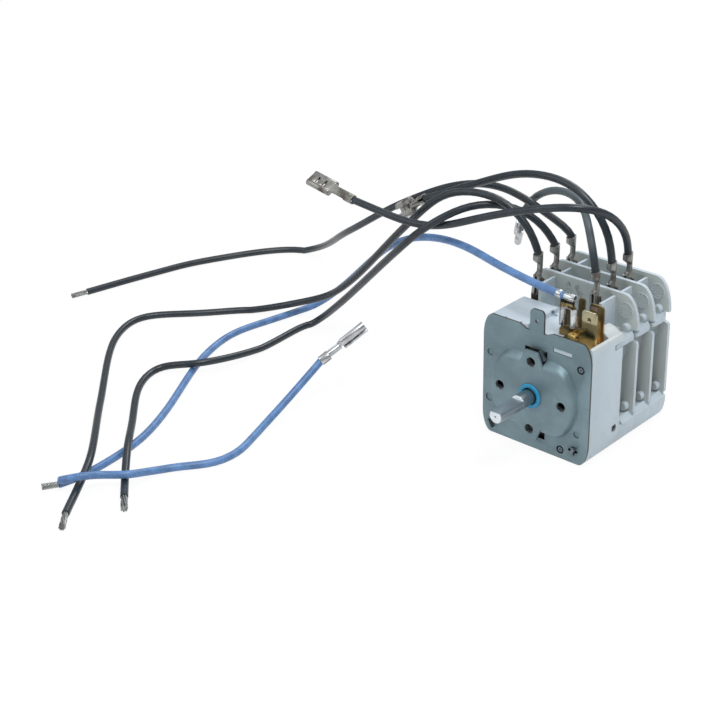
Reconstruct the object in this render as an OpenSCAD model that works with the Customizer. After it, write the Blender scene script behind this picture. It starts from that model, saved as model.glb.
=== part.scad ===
// Sauna timer switch: a spring clockwork with a front plate, and three snap-together switch modules behind it.
// Units are millimetres. X is right, Y goes back into the switch and Z is up.
// The origin is on the shaft axis, in the outer face of the pressed dome of the front plate.

/* [Front plate] */
// Width of the front plate and of the housings behind it
plate_w = 48.8; // [47.6:0.2:50]
// Height of the plate's top edge above the shaft axis
plate_up = 26.4; // [26:0.1:27.4]
// Depth of the plate and the housings below the shaft axis
plate_down = 23.5; // [23.2:0.1:25]
// Width of each rounded plate corner
corner_w = 4; // [3:0.5:5]
// Height of each rounded plate corner
corner_h = 9; // [7:0.5:10]
// Thickness of the plate's sheet steel
sheet = 1; // [0.8:0.1:1.2]
// Height of the pressed dome over the flat plate
dome_up = 3.2; // [2.8:0.1:3.6]
// Radius of the dome where it leaves the plate
dome_r = 19.4; // [19:0.1:20]
// Half height of the dome where it leaves the plate
dome_half = 15.3; // [15:0.1:15.6]
// Circle diameter of the four fixing holes
bolt_circle = 28; // [27.4:0.2:28.6]
// Core diameter of the four tapped fixing holes
bolt_hole = 3.4; // [3.2:0.1:3.6]
// Outer diameter of the collar pulled behind each fixing hole
collar_d = 5.4; // [5:0.1:5.6]
// Depth of the collar behind the sheet
collar_depth = 2; // [1.4:0.1:2]
// Width of the earth tab on the top edge
earth_w = 6.3; // [5.8:0.1:6.8]
// Height of the earth tab's tip above the shaft axis
earth_up = 34.1; // [33:0.1:35]
// Diameter of the hole in the earth tab
earth_hole = 1.7; // [1.4:0.1:2]

/* [Shaft] */
// Diameter of the control shaft
shaft_d = 6; // [5.8:0.1:6.2]
// Length of shaft in front of the dome
shaft_out = 21; // [15:0.5:30]
// Length of the flat on the shaft's tip
flat_len = 13.5; // [8:0.5:14.5]
// Depth of the flat below the round surface
flat_cut = 1.4; // [0.8:0.1:1.6]
// Radial clearance of the shaft in its bearings
bearing_gap = 0.05; // [0.03:0.01:0.08]
// Radial clearance of the shaft in walls that only let it through
pass_gap = 0.3; // [0.2:0.05:0.4]
// Diameter of the bushing's flange
bushing_flange = 9.8; // [9.2:0.1:10.4]
// Height of the bushing's flange over the dome
bushing_up = 0.6; // [0.4:0.1:1]

/* [Clock housing] */
// Depth of the clock housing behind the front plate
clock_depth = 19.2; // [19:0.1:20]
// Wall of the clock housing
clock_wall = 1.6; // [1.4:0.1:1.8]
// Back wall of the clock housing
clock_back = 1.4; // [1.2:0.1:1.4]
// Height of the housing's raised block on the left
block_up = 26.3; // [26:0.1:27]
// Height of the lower step in the middle
step_up = 24.6; // [24:0.1:25]
// Left end of the terminal pocket
pocket_x = 8.8; // [8.4:0.1:9.2]
// Depth of the terminal pocket from front to rear
pocket_depth = 12; // [11.8:0.1:12.2]
// Thickness of the pocket's floor
pocket_floor = 1.8; // [1.6:0.1:2]

/* [Switch modules] */
// Distance from one switch module to the next
pitch = 10.7; // [10.5:0.1:11]
// Thickness of each module's upright wall
wall = 1.5; // [1.4:0.1:1.7]
// Height of each module's wall above the shaft axis
wall_up = 35.2; // [34.6:0.1:36]
// Height of the terminal shelf's upper face
shelf_up = 21.3; // [21.1:0.1:21.6]
// Thickness of the terminal shelf
shelf = 2; // [1.8:0.1:2.2]
// Wall of the cam chamber
chamber_wall = 1.4; // [1.2:0.1:1.5]
// Distance of the two upright ribs from the centre
rib_x = 13.7; // [13.4:0.1:14]
// Thickness of the two upright ribs
rib = 1.2; // [1:0.1:1.4]
// Height of the module's base above its underside
base_h = 11.2; // [10.8:0.1:11.4]

/* [Clockwork] */
// Gear module of the first two pairs
gear_m = 0.4; // [0.39:0.01:0.41]
// Gear module of the third pair
fine_m = 0.35; // [0.34:0.01:0.36]
// Radius of the arbors' pivots
pivot_r = 0.6; // [0.5:0.05:0.7]
// Radial clearance of each pivot in its plate
pivot_gap = 0.05; // [0.03:0.01:0.08]
// Thickness of the clock's two inner plates
clock_plate = 1; // [0.8:0.1:1]
// Height of the mainspring's strip
main_strip = 2.5; // [2:0.1:2.7]
// Radius of the escape wheel
escape_r = 5; // [4.9:0.05:5.1]
// Radius of the balance wheel
balance_r = 5.8; // [5.4:0.1:6]

/* [Cams and contacts] */
// Highest radius of a cam
cam_high = 11.5; // [11.3:0.05:11.5]
// Drop of the cam's recess
cam_drop = 1.3; // [1.2:0.05:1.4]
// Thickness of a cam
cam_w = 4; // [3.6:0.1:4.2]
// Travel of a cam follower
travel = 1.2; // [1:0.05:1.2]
// Side clearance of a follower between its rails
rail_gap = 0.15; // [0.1:0.05:0.2]
// Thickness of a contact leaf
leaf = 0.3; // [0.2:0.05:0.35]
// Distance of the left terminals from the centre
left_x = 18; // [17.8:0.1:18.1]
// Distance of the right terminals from the centre
right_x = 8; // [7.6:0.1:8.6]
// Thickness of the terminals' sheet metal
tab = 0.8; // [0.7:0.05:0.8]
// Height where the push-on receptacles of the modules begin
plug_z = 26.8; // [26.4:0.2:27]

/* [Wires] */
// Diameter of the insulated wires
wire_d = 3; // [2.6:0.1:3.2]

/* [Hidden] */
$fn = 40;
eps = 0.01;
half_w = plate_w / 2;
plate_y = dome_up;
plate_back = plate_y + sheet;
clock_end = plate_back + clock_depth;
clock_in = clock_end - clock_back;
pocket_end = plate_back + pocket_depth;
pocket_z = shelf_up;
pocket_wall = half_w - clock_wall;
function y0(k) = clock_end + pitch * (k - 1);
function y1(k) = y0(k) + pitch;
last_y = y1(3);
shaft_r = shaft_d / 2;
inner_r = shaft_r - 0.25;
tip_r = shaft_r - 0.17;
shaft_end = last_y - 0.5;
face_half = dome_half - 2.6;
bolt_r = bolt_circle / 2;
gap = 0.15;

// Plane helpers: a flat outline drawn in X and Z and run along Y, and one drawn in Y and Z and run along X
module along_y(y, h) { translate([0, y + h, 0]) rotate([90, 0, 0]) linear_extrude(h) children(); }
module along_x(x, w) { translate([x, 0, 0]) rotate([90, 0, 90]) linear_extrude(w) children(); }
module rod_y(x, z, r, y, h, fn = 32) { translate([x, y + h, z]) rotate([90, 0, 0]) cylinder(r = r, h = h, $fn = fn); }
module block(x, y, z) { translate([x[0], y[0], z[0]]) cube([x[1] - x[0], y[1] - y[0], z[1] - z[0]]); }
module both() { children(); mirror([1, 0, 0]) children(); }
function polar(r, a) = [r * cos(a), r * sin(a)];
function arc(c, a, b, from, to, n) = [for (i = [0:n]) let (t = from + (to - from) * i / n) [c[0] + a * cos(t), c[1] + b * sin(t)]];
function flip(pts) = [for (i = [len(pts) - 1:-1:0]) [-pts[i][0], pts[i][1]]];

// Front plate: pressed dome, tongues, tapped holes, earth tab and slots for the clock's legs
leg_at = [[3.4, 16.8], [half_w - 6.4, 5.2 - plate_down], [4.4 - half_w, 3.9 - plate_down]];
leg_turn = [40, -42, 28];
leg_long = [2.6, 3, 2.6];
leg_t = 1;
rivet_at = [[half_w - 4.4, 15.8], [12.2, 3.7 - plate_down]];
rivet_r = 1;
low_c = [half_w - corner_w, corner_h - plate_down];
high_c = [half_w - corner_w, plate_up - corner_h];
plate_right = concat(arc(low_c, corner_w, corner_h, -90, 0, 7), arc(high_c, corner_w, corner_h, 0, 90, 7),
    [[earth_w / 2 + 4, plate_up], [earth_w / 2 + 1.2, plate_up - 1.3], [earth_w / 2, plate_up - 1.3]]);
plate_left = concat([[-earth_w / 2, plate_up - 1.4], [-earth_w / 2 - 1.8, plate_up - 1.4], [-earth_w / 2 - 5, plate_up]],
    arc([-high_c[0], high_c[1]], corner_w, corner_h, 90, 180, 7), arc([-low_c[0], low_c[1]], corner_w, corner_h, 180, 270, 7));
earth_tip = concat(arc([earth_w / 2 - 1.7, earth_up - 1.7], 1.7, 1.7, 0, 90, 4), arc([1.7 - earth_w / 2, earth_up - 1.7], 1.7, 1.7, 90, 180, 4));

// Outline of the dome at one level: a circle with flattened top and bottom and rounded corners
function dome_ring(r, h, c) = let (x = sqrt(pow(r - c, 2) - pow(h - c, 2)), t = atan2(h - c, x)) concat(
    arc([x, h - c], c, c, 90, t, 5), [for (i = [1:8]) polar(r, t - 2 * t * i / 8)], [for (i = [1:5]) let (a = -t - (90 - t) * i / 5) [x + c * cos(a), c - h + c * sin(a)]],
    arc([-x, c - h], c, c, 270, 180 + t, 5), [for (i = [1:8]) polar(r, 180 + t - 2 * t * i / 8)], [for (i = [1:5]) let (a = 180 - t - (90 - t) * i / 5) [c * cos(a) - x, h - c + c * sin(a)]]);
// Levels of the dome's flank, as how far in from the foot and how deep behind the face
flank = [[1, 0], [0.72, 0.12], [0.5, 0.5], [0.33, 1.2], [0.17, 2.2], [0.06, 2.8], [0, 3.2]];
module dome_solid(inset, y, end) {
    rings = [for (f = flank) [dome_ring(dome_r - inset - 1.9 * f[0], dome_half - inset - 3.5 * f[0], 7.5 - inset - 1.5 * f[0]), y + f[1] * (end - y) / 3.2]];
    n = len(rings[0][0]);
    m = len(rings);
    polyhedron([for (r = rings) for (p = r[0]) [p[0], r[1], p[1]]], concat(
        [for (i = [1:n - 2]) [0, i, i + 1]], [for (i = [1:n - 2]) [(m - 1) * n, (m - 1) * n + i + 1, (m - 1) * n + i]],
        [for (k = [0:m - 2]) for (i = [0:n - 1]) let (a = k * n + i, b = k * n + (i + 1) % n) each [[a, b + n, b], [a, a + n, b + n]]]));
}
module tongue_shape() { polygon([[-5.2, face_half - 1.6], [5.2, face_half - 1.6], [5.1, face_half + 0.4], [3, face_half + 5.5], [2.6, face_half + 5.8], [-2.6, face_half + 5.8], [-3, face_half + 5.5], [-5.1, face_half + 0.4]]); }
module front_plate() {
    color([0.45, 0.52, 0.56]) difference() {
        union() {
            difference() {
                union() {
                    along_y(plate_y, sheet) polygon(concat(plate_right, earth_tip, plate_left));
                    dome_solid(0, 0, plate_y + 0.02);
                }
                dome_solid(0.75, sheet, plate_back + 0.02);
                for (s = [0, 1]) mirror([0, 0, s]) block([-5, 5], [-1, plate_back + 1], [face_half + 0.2, face_half + 5.6]);
            }
            for (s = [0, 1]) mirror([0, 0, s]) along_y(0, sheet) tongue_shape();
            for (a = [0:90:270]) rod_y(bolt_r * cos(a), bolt_r * sin(a), collar_d / 2, sheet - 0.2, collar_depth + 0.2);
        }
        for (a = [0:90:270]) rod_y(bolt_r * cos(a), bolt_r * sin(a), bolt_hole / 2, -1, sheet + collar_depth + 2);
        rod_y(0, 0, bushing_sleeve + 0.05, -1, plate_back + 1, 48);
        rod_y(0, 29.5, earth_hole / 2, plate_y - 1, sheet + 2, 24);
        block([7.5, 16], [plate_y - 1, plate_back + 1], [pocket_z - pocket_floor, pocket_z]);
        for (p = rivet_at) rod_y(p[0], p[1], rivet_r + 0.65, plate_y - 1, sheet + 2, 24);
        for (i = [1, 2]) translate([leg_at[i][0], 0, leg_at[i][1]]) along_y(plate_y - 1, sheet + 2)
            square([leg_t + 0.5, leg_long[i] + 0.5], center = true);
        translate([leg_at[1][0], 0, leg_at[1][1]]) along_y(plate_y - 1, sheet + 2) square([4.2, 1.1], center = true);
        for (p = [[3.4 - half_w, 10.4, 1.5], [3.2 - half_w, -8.8, 1.7], [half_w - 5.1, -11, 1.4]]) rod_y(p[0], p[1], p[2], plate_y - 1, 1.5, 24);
    }
}

// Bushing: plastic sleeve through the dome with a flange in front
bushing_sleeve = inner_r + 1.1;
module shaft_bushing() {
    color([0.18, 0.57, 0.75]) translate([0, -bushing_up, 0]) rotate([-90, 0, 0]) rotate_extrude($fn = 48)
        polygon([[inner_r + bearing_gap, 0], [bushing_flange / 2 - 0.25, 0], [bushing_flange / 2, 0.25], [bushing_flange / 2, bushing_up],
            [bushing_sleeve, bushing_up], [bushing_sleeve, bushing_up + plate_back], [inner_r + bearing_gap, bushing_up + plate_back]]);
}

// Clock housing: the outline of the plate, a raised block, a step and an open pocket for the brass terminals
block_end = -4.8;
shelf_edge = half_w;
groove_y = clock_end - 4.9;
clock_outer = concat(arc(low_c, corner_w, corner_h, -90, 0, 7),
    [[half_w, 24.8], [pocket_wall, 24.8], [pocket_wall, pocket_z], [pocket_x, pocket_z], [pocket_x, step_up], [block_end + 0.3, step_up], [block_end, block_up]],
    [[-high_c[0] - 0.2, block_up]], arc([-high_c[0], high_c[1]], corner_w, block_up - high_c[1], 100, 180, 6),
    arc([-low_c[0], low_c[1]], corner_w, corner_h, 180, 270, 7));
inner_b = corner_h - clock_wall;
inner_a = corner_w - clock_wall;
clock_inner = concat(arc(low_c, inner_a, inner_b, -90, 0, 5), [[half_w - clock_wall, pocket_z - pocket_floor], [pocket_x - clock_wall, pocket_z - pocket_floor],
    [pocket_x - clock_wall, step_up - clock_wall], [block_end - clock_wall, step_up - clock_wall], [block_end - clock_wall, block_up - clock_wall], [-high_c[0], block_up - clock_wall]],
    arc([-high_c[0], high_c[1]], inner_a, block_up - clock_wall - high_c[1], 100, 180, 5), arc([-low_c[0], low_c[1]], inner_a, inner_b, 180, 270, 5));
module clock_housing() {
    color([0.78, 0.81, 0.83]) difference() {
        union() {
            difference() {
                union() {
                    along_y(plate_back, clock_depth) polygon(clock_outer);
                    along_y(pocket_end, clock_end - pocket_end)
                        polygon(concat([[17.8, pocket_z - 1]], arc([17.8, pocket_z - 1], half_w - 17.8, 6.6, 0, 90, 8)));
                    block([pocket_x - 1, 18], [pocket_end, clock_end], [pocket_z - 1, step_up]);
                    along_y(plate_back - sheet + 0.2, sheet) translate([7.5 + gap, pocket_z - pocket_floor + gap]) square([8.5 - 2 * gap, pocket_floor - 2 * gap]);
                }
                along_y(plate_back - 1, clock_depth - clock_back + 1) polygon(clock_inner);
            }
            for (p = rivet_at) rod_y(p[0], p[1], rivet_r + 1.1, plate_back, clock_depth - 0.5, 24);
            block([rivet_at[0][0] + 1.5, half_w - 0.5], [plate_back, clock_end - 0.5], [rivet_at[0][1] - 0.8, rivet_at[0][1] + 0.8]);
            block([rivet_at[1][0] - 0.8, rivet_at[1][0] + 0.8], [plate_back, clock_end - 0.5], [-plate_down + 0.5, rivet_at[1][1] - 1.5]);
        }
        rod_y(0, 0, inner_r + pass_gap, clock_in - 1, clock_back + 2);
        for (p = rivet_at) rod_y(p[0], p[1], rivet_r + 0.05, plate_back - 1, clock_depth + 2, 24);
        block([-5.5, -3], [18.5, 21], [step_up - 0.8, block_up + 1]);
        block([half_w - 1.2, half_w + 1], [groove_y, clock_end + 1], [shelf_up - shelf, shelf_up]);
        mirror([1, 0, 0]) block([half_w - 1.2, half_w + 1], [groove_y, clock_end + 1], [shelf_up - shelf, shelf_up]);
        block([half_w - 1.1, half_w + 1], [clock_end - 4.6, clock_end - 1.9], [-15, -12.3]);
    }
}
module housing_rivets() {
    color([0.6, 0.62, 0.63]) for (p = rivet_at) difference() {
        rod_y(p[0], p[1], rivet_r, plate_y + 0.1, clock_end - plate_y - 0.1, 24);
        rod_y(p[0], p[1], 0.35, plate_y - 1, 1.6, 16);
    }
}

// Clock: two inner plates on pillars, with bent legs that are twisted in front of the front plate
front_y = plate_back + 0.8;
rear_y = clock_in - 1 - clock_plate;
plate_x = half_w - 2.8;
plate_z = plate_down - 2.5;
pillar_at = [[16, 11.6], [15, -12], [2.8 - plate_x, 19], [2 - plate_x, -14.6]];
arbor_in = rear_y;
function train(a, d) = [d * cos(a), d * sin(a)];
great_n = 60;
pinion_n = 10;
second_n = 45;
third_pinion_n = 9;
third_n = 36;
escape_pinion_n = 9;
teeth = 15;
angle_a = 135;
angle_b = -108;
angle_e = -90;
angle_p = -50;
centre_a = train(angle_a, (great_n + pinion_n) * gear_m / 2 + 0.14);
centre_b = centre_a + train(angle_b, (second_n + third_pinion_n) * gear_m / 2 + 0.1);
centre_e = centre_b + train(angle_e, (third_n + escape_pinion_n) * fine_m / 2 + 0.12);
pallet_reach = 7.6 * escape_r / 5;
centre_p = centre_e + train(angle_p, pallet_reach);
centre_w = [0, 8.5 - plate_down];
fork = centre_w - centre_p;
fork_len = norm(fork);
fork_angle = atan2(fork[1], fork[0]);
stud_at = centre_w + polar(4.5, -45);
hook_at = polar(10.75, 45);
arbors = [centre_a, centre_b, centre_e, centre_p, centre_w];

module movement_plate() {
    color([0.72, 0.66, 0.45]) difference() {
        union() {
            along_y(rear_y, clock_plate) polygon([[-plate_x, 4.5 - plate_down], [1 - plate_x, -plate_z], [9.2, -plate_z], [9.2, -16.6], [15.6, -16.6], [15.6, 0.8 - plate_z], [plate_x - 1.4, 0.8 - plate_z], [plate_x - 1.4, -15.2],
                [17, -15.2], [17, 18], [14, 19], [-6, 21], [3.2 - plate_x, 21.4], [0.2 - plate_x, 18]]);
            for (i = [0:2]) translate([leg_at[i][0], 0, leg_at[i][1]]) {
                along_y(plate_y - 0.6, rear_y - plate_y + 0.7) square([leg_t, leg_long[i]], center = true);
                along_y(plate_y - 1.75, 1.7) rotate(leg_turn[i]) square([leg_t + 0.1, leg_long[i] + (i == 0 ? 1.7 : 1)], center = true);
            }
            rod_y(stud_at[0], stud_at[1], 0.45, rear_y - 6.8, 6.9, 16);
        }
        rod_y(0, 0, inner_r + pass_gap, rear_y - 1, clock_plate + 2);
        for (c = arbors) rod_y(c[0], c[1], pivot_r + pivot_gap, rear_y - 1, clock_plate + 2, 24);
    }
}
module front_movement_plate() {
    color([0.72, 0.66, 0.45]) difference() {
        union() {
            along_y(front_y, clock_plate - 0.2) polygon([[0.2 - plate_x, -17], [3 - plate_x, -plate_z], [8.6, -plate_z], [8.6, -17], [17, -14.6], [17, 13], [12.6, 18.4], [-4, 21], [3.2 - plate_x, 21.2], [0.2 - plate_x, 18]]);
            for (p = pillar_at) rod_y(p[0], p[1], 1.5, front_y + 0.1, rear_y - front_y - 0.1, 24);
            rod_y(hook_at[0], hook_at[1], 0.6, front_y + 0.1, spring_y + main_strip - front_y - 0.1, 16);
        }
        rod_y(0, 0, inner_r + pass_gap, front_y - 1, clock_plate + 2);
        for (c = arbors) rod_y(c[0], c[1], pivot_r + pivot_gap, front_y - 1, clock_plate + 2, 24);
        translate([leg_at[0][0], 0, leg_at[0][1]]) along_y(front_y - 1, clock_plate + 2) square([leg_t + 0.4, leg_long[0] + 0.4], center = true);
        translate([leg_at[2][0], 0, leg_at[2][1]]) along_y(front_y - 1, clock_plate + 2) square([leg_t + 0.4, leg_long[2] + 0.4], center = true);
    }
}

// Spiral strip from an inner to an outer radius
function spiral(r1, r2, turns, t, start, n) = let (m = ceil(turns * n)) concat(
    [for (i = [0:m]) polar(r1 + (r2 - r1) * i / m + t / 2, start + 360 * turns * i / m)],
    [for (i = [m:-1:0]) polar(r1 + (r2 - r1) * i / m - t / 2, start + 360 * turns * i / m)]);
spring_y = front_y + 1.8;
module mainspring() {
    color([0.35, 0.4, 0.5]) along_y(spring_y, main_strip) polygon(spiral(inner_r + 0.45, norm(hook_at) - 0.6 - 0.2, 4.5, 0.3, 45 - 180, 20));
}
hair_y = rear_y - 6.8;
module balance_spring() {
    color([0.55, 0.58, 0.62]) translate([centre_w[0], 0, centre_w[1]]) along_y(hair_y + 0.1, 0.5) polygon(spiral(pivot_r + 0.3, 3.96, 4, 0.12, -45, 18));
}

// Gear outline with slim clock teeth
function gear(n, m, phase) = [for (i = [0:n - 1]) let (r = n * m / 2, p = 360 / n, a = phase + p * i)
    each [polar(r - 1.25 * m, a - 0.3 * p), polar(r + 0.75 * m, a - 0.1 * p), polar(r + 0.75 * m, a + 0.1 * p), polar(r - 1.25 * m, a + 0.3 * p)]];
function mesh(angle, phase, n1, n2) = angle + 180 - (phase - angle) * n1 / n2 + 180 / n2;
module wheel(n, m, phase, rim, hub) {
    r = n * m / 2 - 1.25 * m;
    difference() {
        polygon(gear(n, m, phase));
        for (i = [0:3]) rotate(45 + 90 * i) difference() {
            intersection() {
                difference() { circle(r - rim, $fn = 48); circle(hub, $fn = 32); }
                translate([hub * 0.75, hub * 0.75]) square(r);
            }
        }
    }
}
level_1 = rear_y - 4;
level_2 = rear_y - 7;
level_3 = rear_y - 10;
level_4 = front_y + 2;
great_w = 2.5;
thin_w = 0.8;
module arbor(y, h) { translate([0, y + h, 0]) rotate([90, 0, 0]) cylinder(r = pivot_r, h = h, $fn = 24); }
module great_wheel() {
    color([0.8, 0.68, 0.35]) difference() {
        union() {
            along_y(level_1, great_w) polygon(gear(great_n, gear_m, 0));
            rod_y(0, 0, inner_r + 1.5, level_1 - 1.2, great_w + 1.2);
        }
        rod_y(0, 0, inner_r, level_1 - 3, great_w + 6, 48);
        for (i = [0:4]) rotate([0, 72 * i + 20, 0]) rod_y(7.9, 0, 2.1, level_1 - 1, great_w + 2, 24);
    }
}
module second_wheel() {
    color([0.82, 0.7, 0.38]) translate([centre_a[0], 0, centre_a[1]]) {
        arbor(front_y, rear_y + clock_plate - front_y);
        along_y(level_1 - 0.2, great_w + 0.4) polygon(gear(pinion_n, gear_m, mesh(angle_a, 0, great_n, pinion_n)));
        along_y(level_2, thin_w + 0.2) wheel(second_n, gear_m, 0, 1.3, 2);
    }
}
module third_wheel() {
    color([0.82, 0.7, 0.38]) translate([centre_b[0], 0, centre_b[1]]) {
        arbor(front_y, rear_y + clock_plate - front_y);
        along_y(level_2 - 0.2, thin_w + 0.8) polygon(gear(third_pinion_n, gear_m, mesh(angle_b, 0, second_n, third_pinion_n)));
        along_y(level_3, thin_w) wheel(third_n, fine_m, 0, 1, 1.5);
    }
}
escape_phase = angle_p + 12;
module escape_wheel() {
    color([0.82, 0.7, 0.38]) translate([centre_e[0], 0, centre_e[1]]) {
        arbor(front_y, rear_y + clock_plate - front_y);
        along_y(level_3 - 0.2, thin_w + 0.6) polygon(gear(escape_pinion_n, fine_m, mesh(angle_e, 0, third_n, escape_pinion_n)));
        along_y(level_4, 0.9) difference() {
            polygon([for (i = [0:teeth - 1]) let (a = escape_phase + 24 * i)
                each [polar(escape_r * 0.72, a - 3.6), polar(escape_r, a - 0.9), polar(escape_r, a + 0.9), polar(escape_r * 0.72, a + 3.6)]]);
            for (i = [0:3]) rotate(90 * i) translate([1.85, 0]) circle(0.75, $fn = 20);
        }
    }
}
pin_r = 0.25;
pin_out = escape_r + pin_r + 0.12;
pallet_y = level_4 + 1.3;
module pallet_lever() {
    pins = [for (s = [-30, 30]) centre_e - centre_p + polar(pin_out, angle_p + s)];
    color([0.62, 0.64, 0.66]) translate([centre_p[0], 0, centre_p[1]]) {
        arbor(front_y, rear_y + clock_plate - front_y);
        along_y(pallet_y, 0.7) {
            circle(1.3, $fn = 24);
            for (p = pins) {
                rotate(atan2(p[1], p[0])) translate([0, -0.5]) square([norm(p), 1]);
                translate(p) circle(0.6, $fn = 20);
            }
            rotate(fork_angle) {
                translate([0, -0.45]) square([fork_len - 3.2, 0.9]);
                translate([fork_len - 4, -0.95]) difference() {
                    square([1.9, 1.9]);
                    translate([0.9, 0.5]) square([2, 0.9]);
                }
            }
        }
        for (p = pins) rod_y(p[0], p[1], pin_r, level_4 + 0.05, pallet_y - level_4, 16);
    }
}
module balance_wheel() {
    color([0.85, 0.74, 0.42]) translate([centre_w[0], 0, centre_w[1]]) {
        arbor(front_y, rear_y + clock_plate - front_y);
        along_y(rear_y - 9, 1.4) {
            difference() { circle(balance_r, $fn = 48); circle(balance_r - 1, $fn = 48); }
            for (a = [0, 90]) rotate(a) square([2 * balance_r - 1, 0.9], center = true);
            circle(1.3, $fn = 24);
        }
        along_y(pallet_y + 0.9, 0.6) circle(2.1, $fn = 28);
        rotate([0, -fork_angle, 0]) rod_y(-1.55, 0, 0.25, pallet_y + 0.1, 0.9, 16);
    }
}

// Switch modules: an upright wall with rounded ears, a terminal shelf, a cam chamber and a hollow base
base_up = base_h - plate_down;
chamber_x = 16.1;
chamber_top_x = 20.2;
notch_x = 22.2;
low_right = arc(low_c, corner_w, corner_h, -90, 0, 6);
wall_right = concat(low_right, [[half_w, base_up - 2], [half_w - 1.8, base_up - 0.2], [half_w, base_up + 0.2], [half_w, 16.2], [half_w - 0.5, 17.2], [half_w - 1.4, 17.5],
    [notch_x, 17.5], [notch_x, shelf_up + 0.5], [half_w, shelf_up + 0.5]], arc([half_w - 6.5, shelf_up + 0.8], 6.5, wall_up - shelf_up - 0.8, 4, 90, 9));
outer_right = concat(low_right, [[half_w, base_up - 2], [half_w - 1.8, base_up], [chamber_x, base_up], [chamber_x, 1.75], [chamber_top_x, 12.3], [chamber_top_x, shelf_up - shelf]]);
in_x = chamber_x - chamber_wall;
in_top_x = chamber_top_x - chamber_wall;
inner_right = concat(arc(low_c, corner_w - wall, corner_h - wall, -90, 0, 5), [[half_w - wall - 0.9, base_up - 1.6], [in_x, base_up - 1.6], [in_x, 2], [in_top_x, 12.6], [in_top_x, shelf_up - shelf]]);
function terminal_x(side) = side < 0 ? -left_x : right_x;
slot_low = 2.5;
slot_high = 3;
tab_y = 3.9;
module module_housing(k) {
    a = y0(k);
    w = y1(k) - wall;
    color([0.76, 0.79, 0.79]) difference() {
        union() {
            along_y(w, wall) polygon(concat(wall_right, flip(wall_right)));
            difference() {
                along_y(a, w - a + 0.1) polygon(concat(outer_right, flip(outer_right)));
                along_y(a - 1, w - a + 1) polygon(concat(inner_right, flip(inner_right)));
            }
            translate([0, 0, shelf_up - shelf]) linear_extrude(shelf)
                polygon([[-half_w, a], [half_w, a], [half_w, w - 2.4], [notch_x, w + 0.1], [-notch_x, w + 0.1], [-half_w, w - 2.4]]);
            both() {
                block([rib_x - rib / 2, rib_x + rib / 2], [a, w + 0.1], [shelf_up - 0.1, wall_up - 1.8]);
                rod_y(20, shelf_up + 1, 1.75, w - 2.2, 2.3, 24);
                rod_y(20.8, base_up + 2.2, 1.75, w - 2.2, 2.3, 24);
                block([half_w - 1.1, half_w], [a - (k == 1 ? 4.2 : wall), a + 0.1], [shelf_up - shelf + 0.25, shelf_up - 0.25]);
                block([cam_top_half + rail_gap, cam_top_half + rail_gap + 1.25], [a + 2.6, w + 0.1], [cam_high + 0.6, rail_top]);
            }
            date_dial(18.8, 29, w);
        }
        rod_y(0, 0, k == 3 ? inner_r + bearing_gap : inner_r + pass_gap, w - 1, wall + 2);
        for (s = [-1, 1]) block([terminal_x(s) - slot_low - 0.05, terminal_x(s) + slot_high + 0.05], [a + tab_y - 0.05, a + tab_y + tab + 0.05], [shelf_up - shelf - 1, shelf_up + 1]);
        if (k == 1) block([half_w - 1.1, half_w + 1], [a - 1, a + 2.4], [base_up - 2.4, base_up - 0.6]);
    }
}
module date_dial(x, z, w) {
    translate([x, 0, z]) along_y(w - 0.2, 0.3) {
        difference() { circle(3.2, $fn = 32); circle(2.85, $fn = 32); }
        for (i = [0:11]) rotate(30 * i) translate([1.7, -0.15]) square([1.2, 0.3]);
    }
}
cam_top_half = 2;
rail_top = 13.7;

// Cams: high all round but for one recess, which differs a little from module to module
function cam_r(a, from) = let (low = cam_high - cam_drop, ramp = 12)
    a < from ? low : a < from + ramp ? low + cam_drop * (a - from) / ramp : a <= 275 - ramp ? cam_high : a < 275 ? low + cam_drop * (275 - a) / ramp : low;
cam_from = [25, 29, 33];
module cam(k) {
    color([0.86, 0.84, 0.76]) difference() {
        union() {
            along_y(y0(k) + 2.2, cam_w) polygon([for (i = [0:71]) polar(cam_r(5 * i, cam_from[k - 1]), 5 * i + 90)]);
            rod_y(0, 0, inner_r + 2.1, y0(k) + 1.2, cam_w + 2);
        }
        rod_y(0, 0, inner_r, y0(k), cam_w + 4, 48);
        for (i = [0:5]) rotate([0, 60 * i, 0]) rod_y(7.6, 0, 1.6, y0(k) + 1, cam_w + 3, 24);
    }
}
module control_shaft() {
    color([0.66, 0.68, 0.7]) union() {
        difference() {
            union() {
                translate([0, -shaft_out, 0]) rotate([-90, 0, 0]) cylinder(r1 = tip_r - 0.5, r2 = tip_r, h = 0.5, $fn = 48);
                rod_y(0, 0, tip_r, 0.5 - shaft_out, flat_len, 48);
            }
            translate([0, -shaft_out - 0.01, 0]) rotate([-90, 0, 0]) cylinder(r1 = 0.6, r2 = 0.15, h = 0.5, $fn = 24);
            block([-shaft_r, shaft_r], [-shaft_out - 1, flat_len - shaft_out + 1], [shaft_r - flat_cut, shaft_r + 1]);
        }
        rod_y(0, 0, shaft_r, flat_len - shaft_out, shaft_out - flat_len - 1, 48);
        rod_y(0, 0, inner_r, -1.1, shaft_end + 1.1, 48);
    }
}

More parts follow.
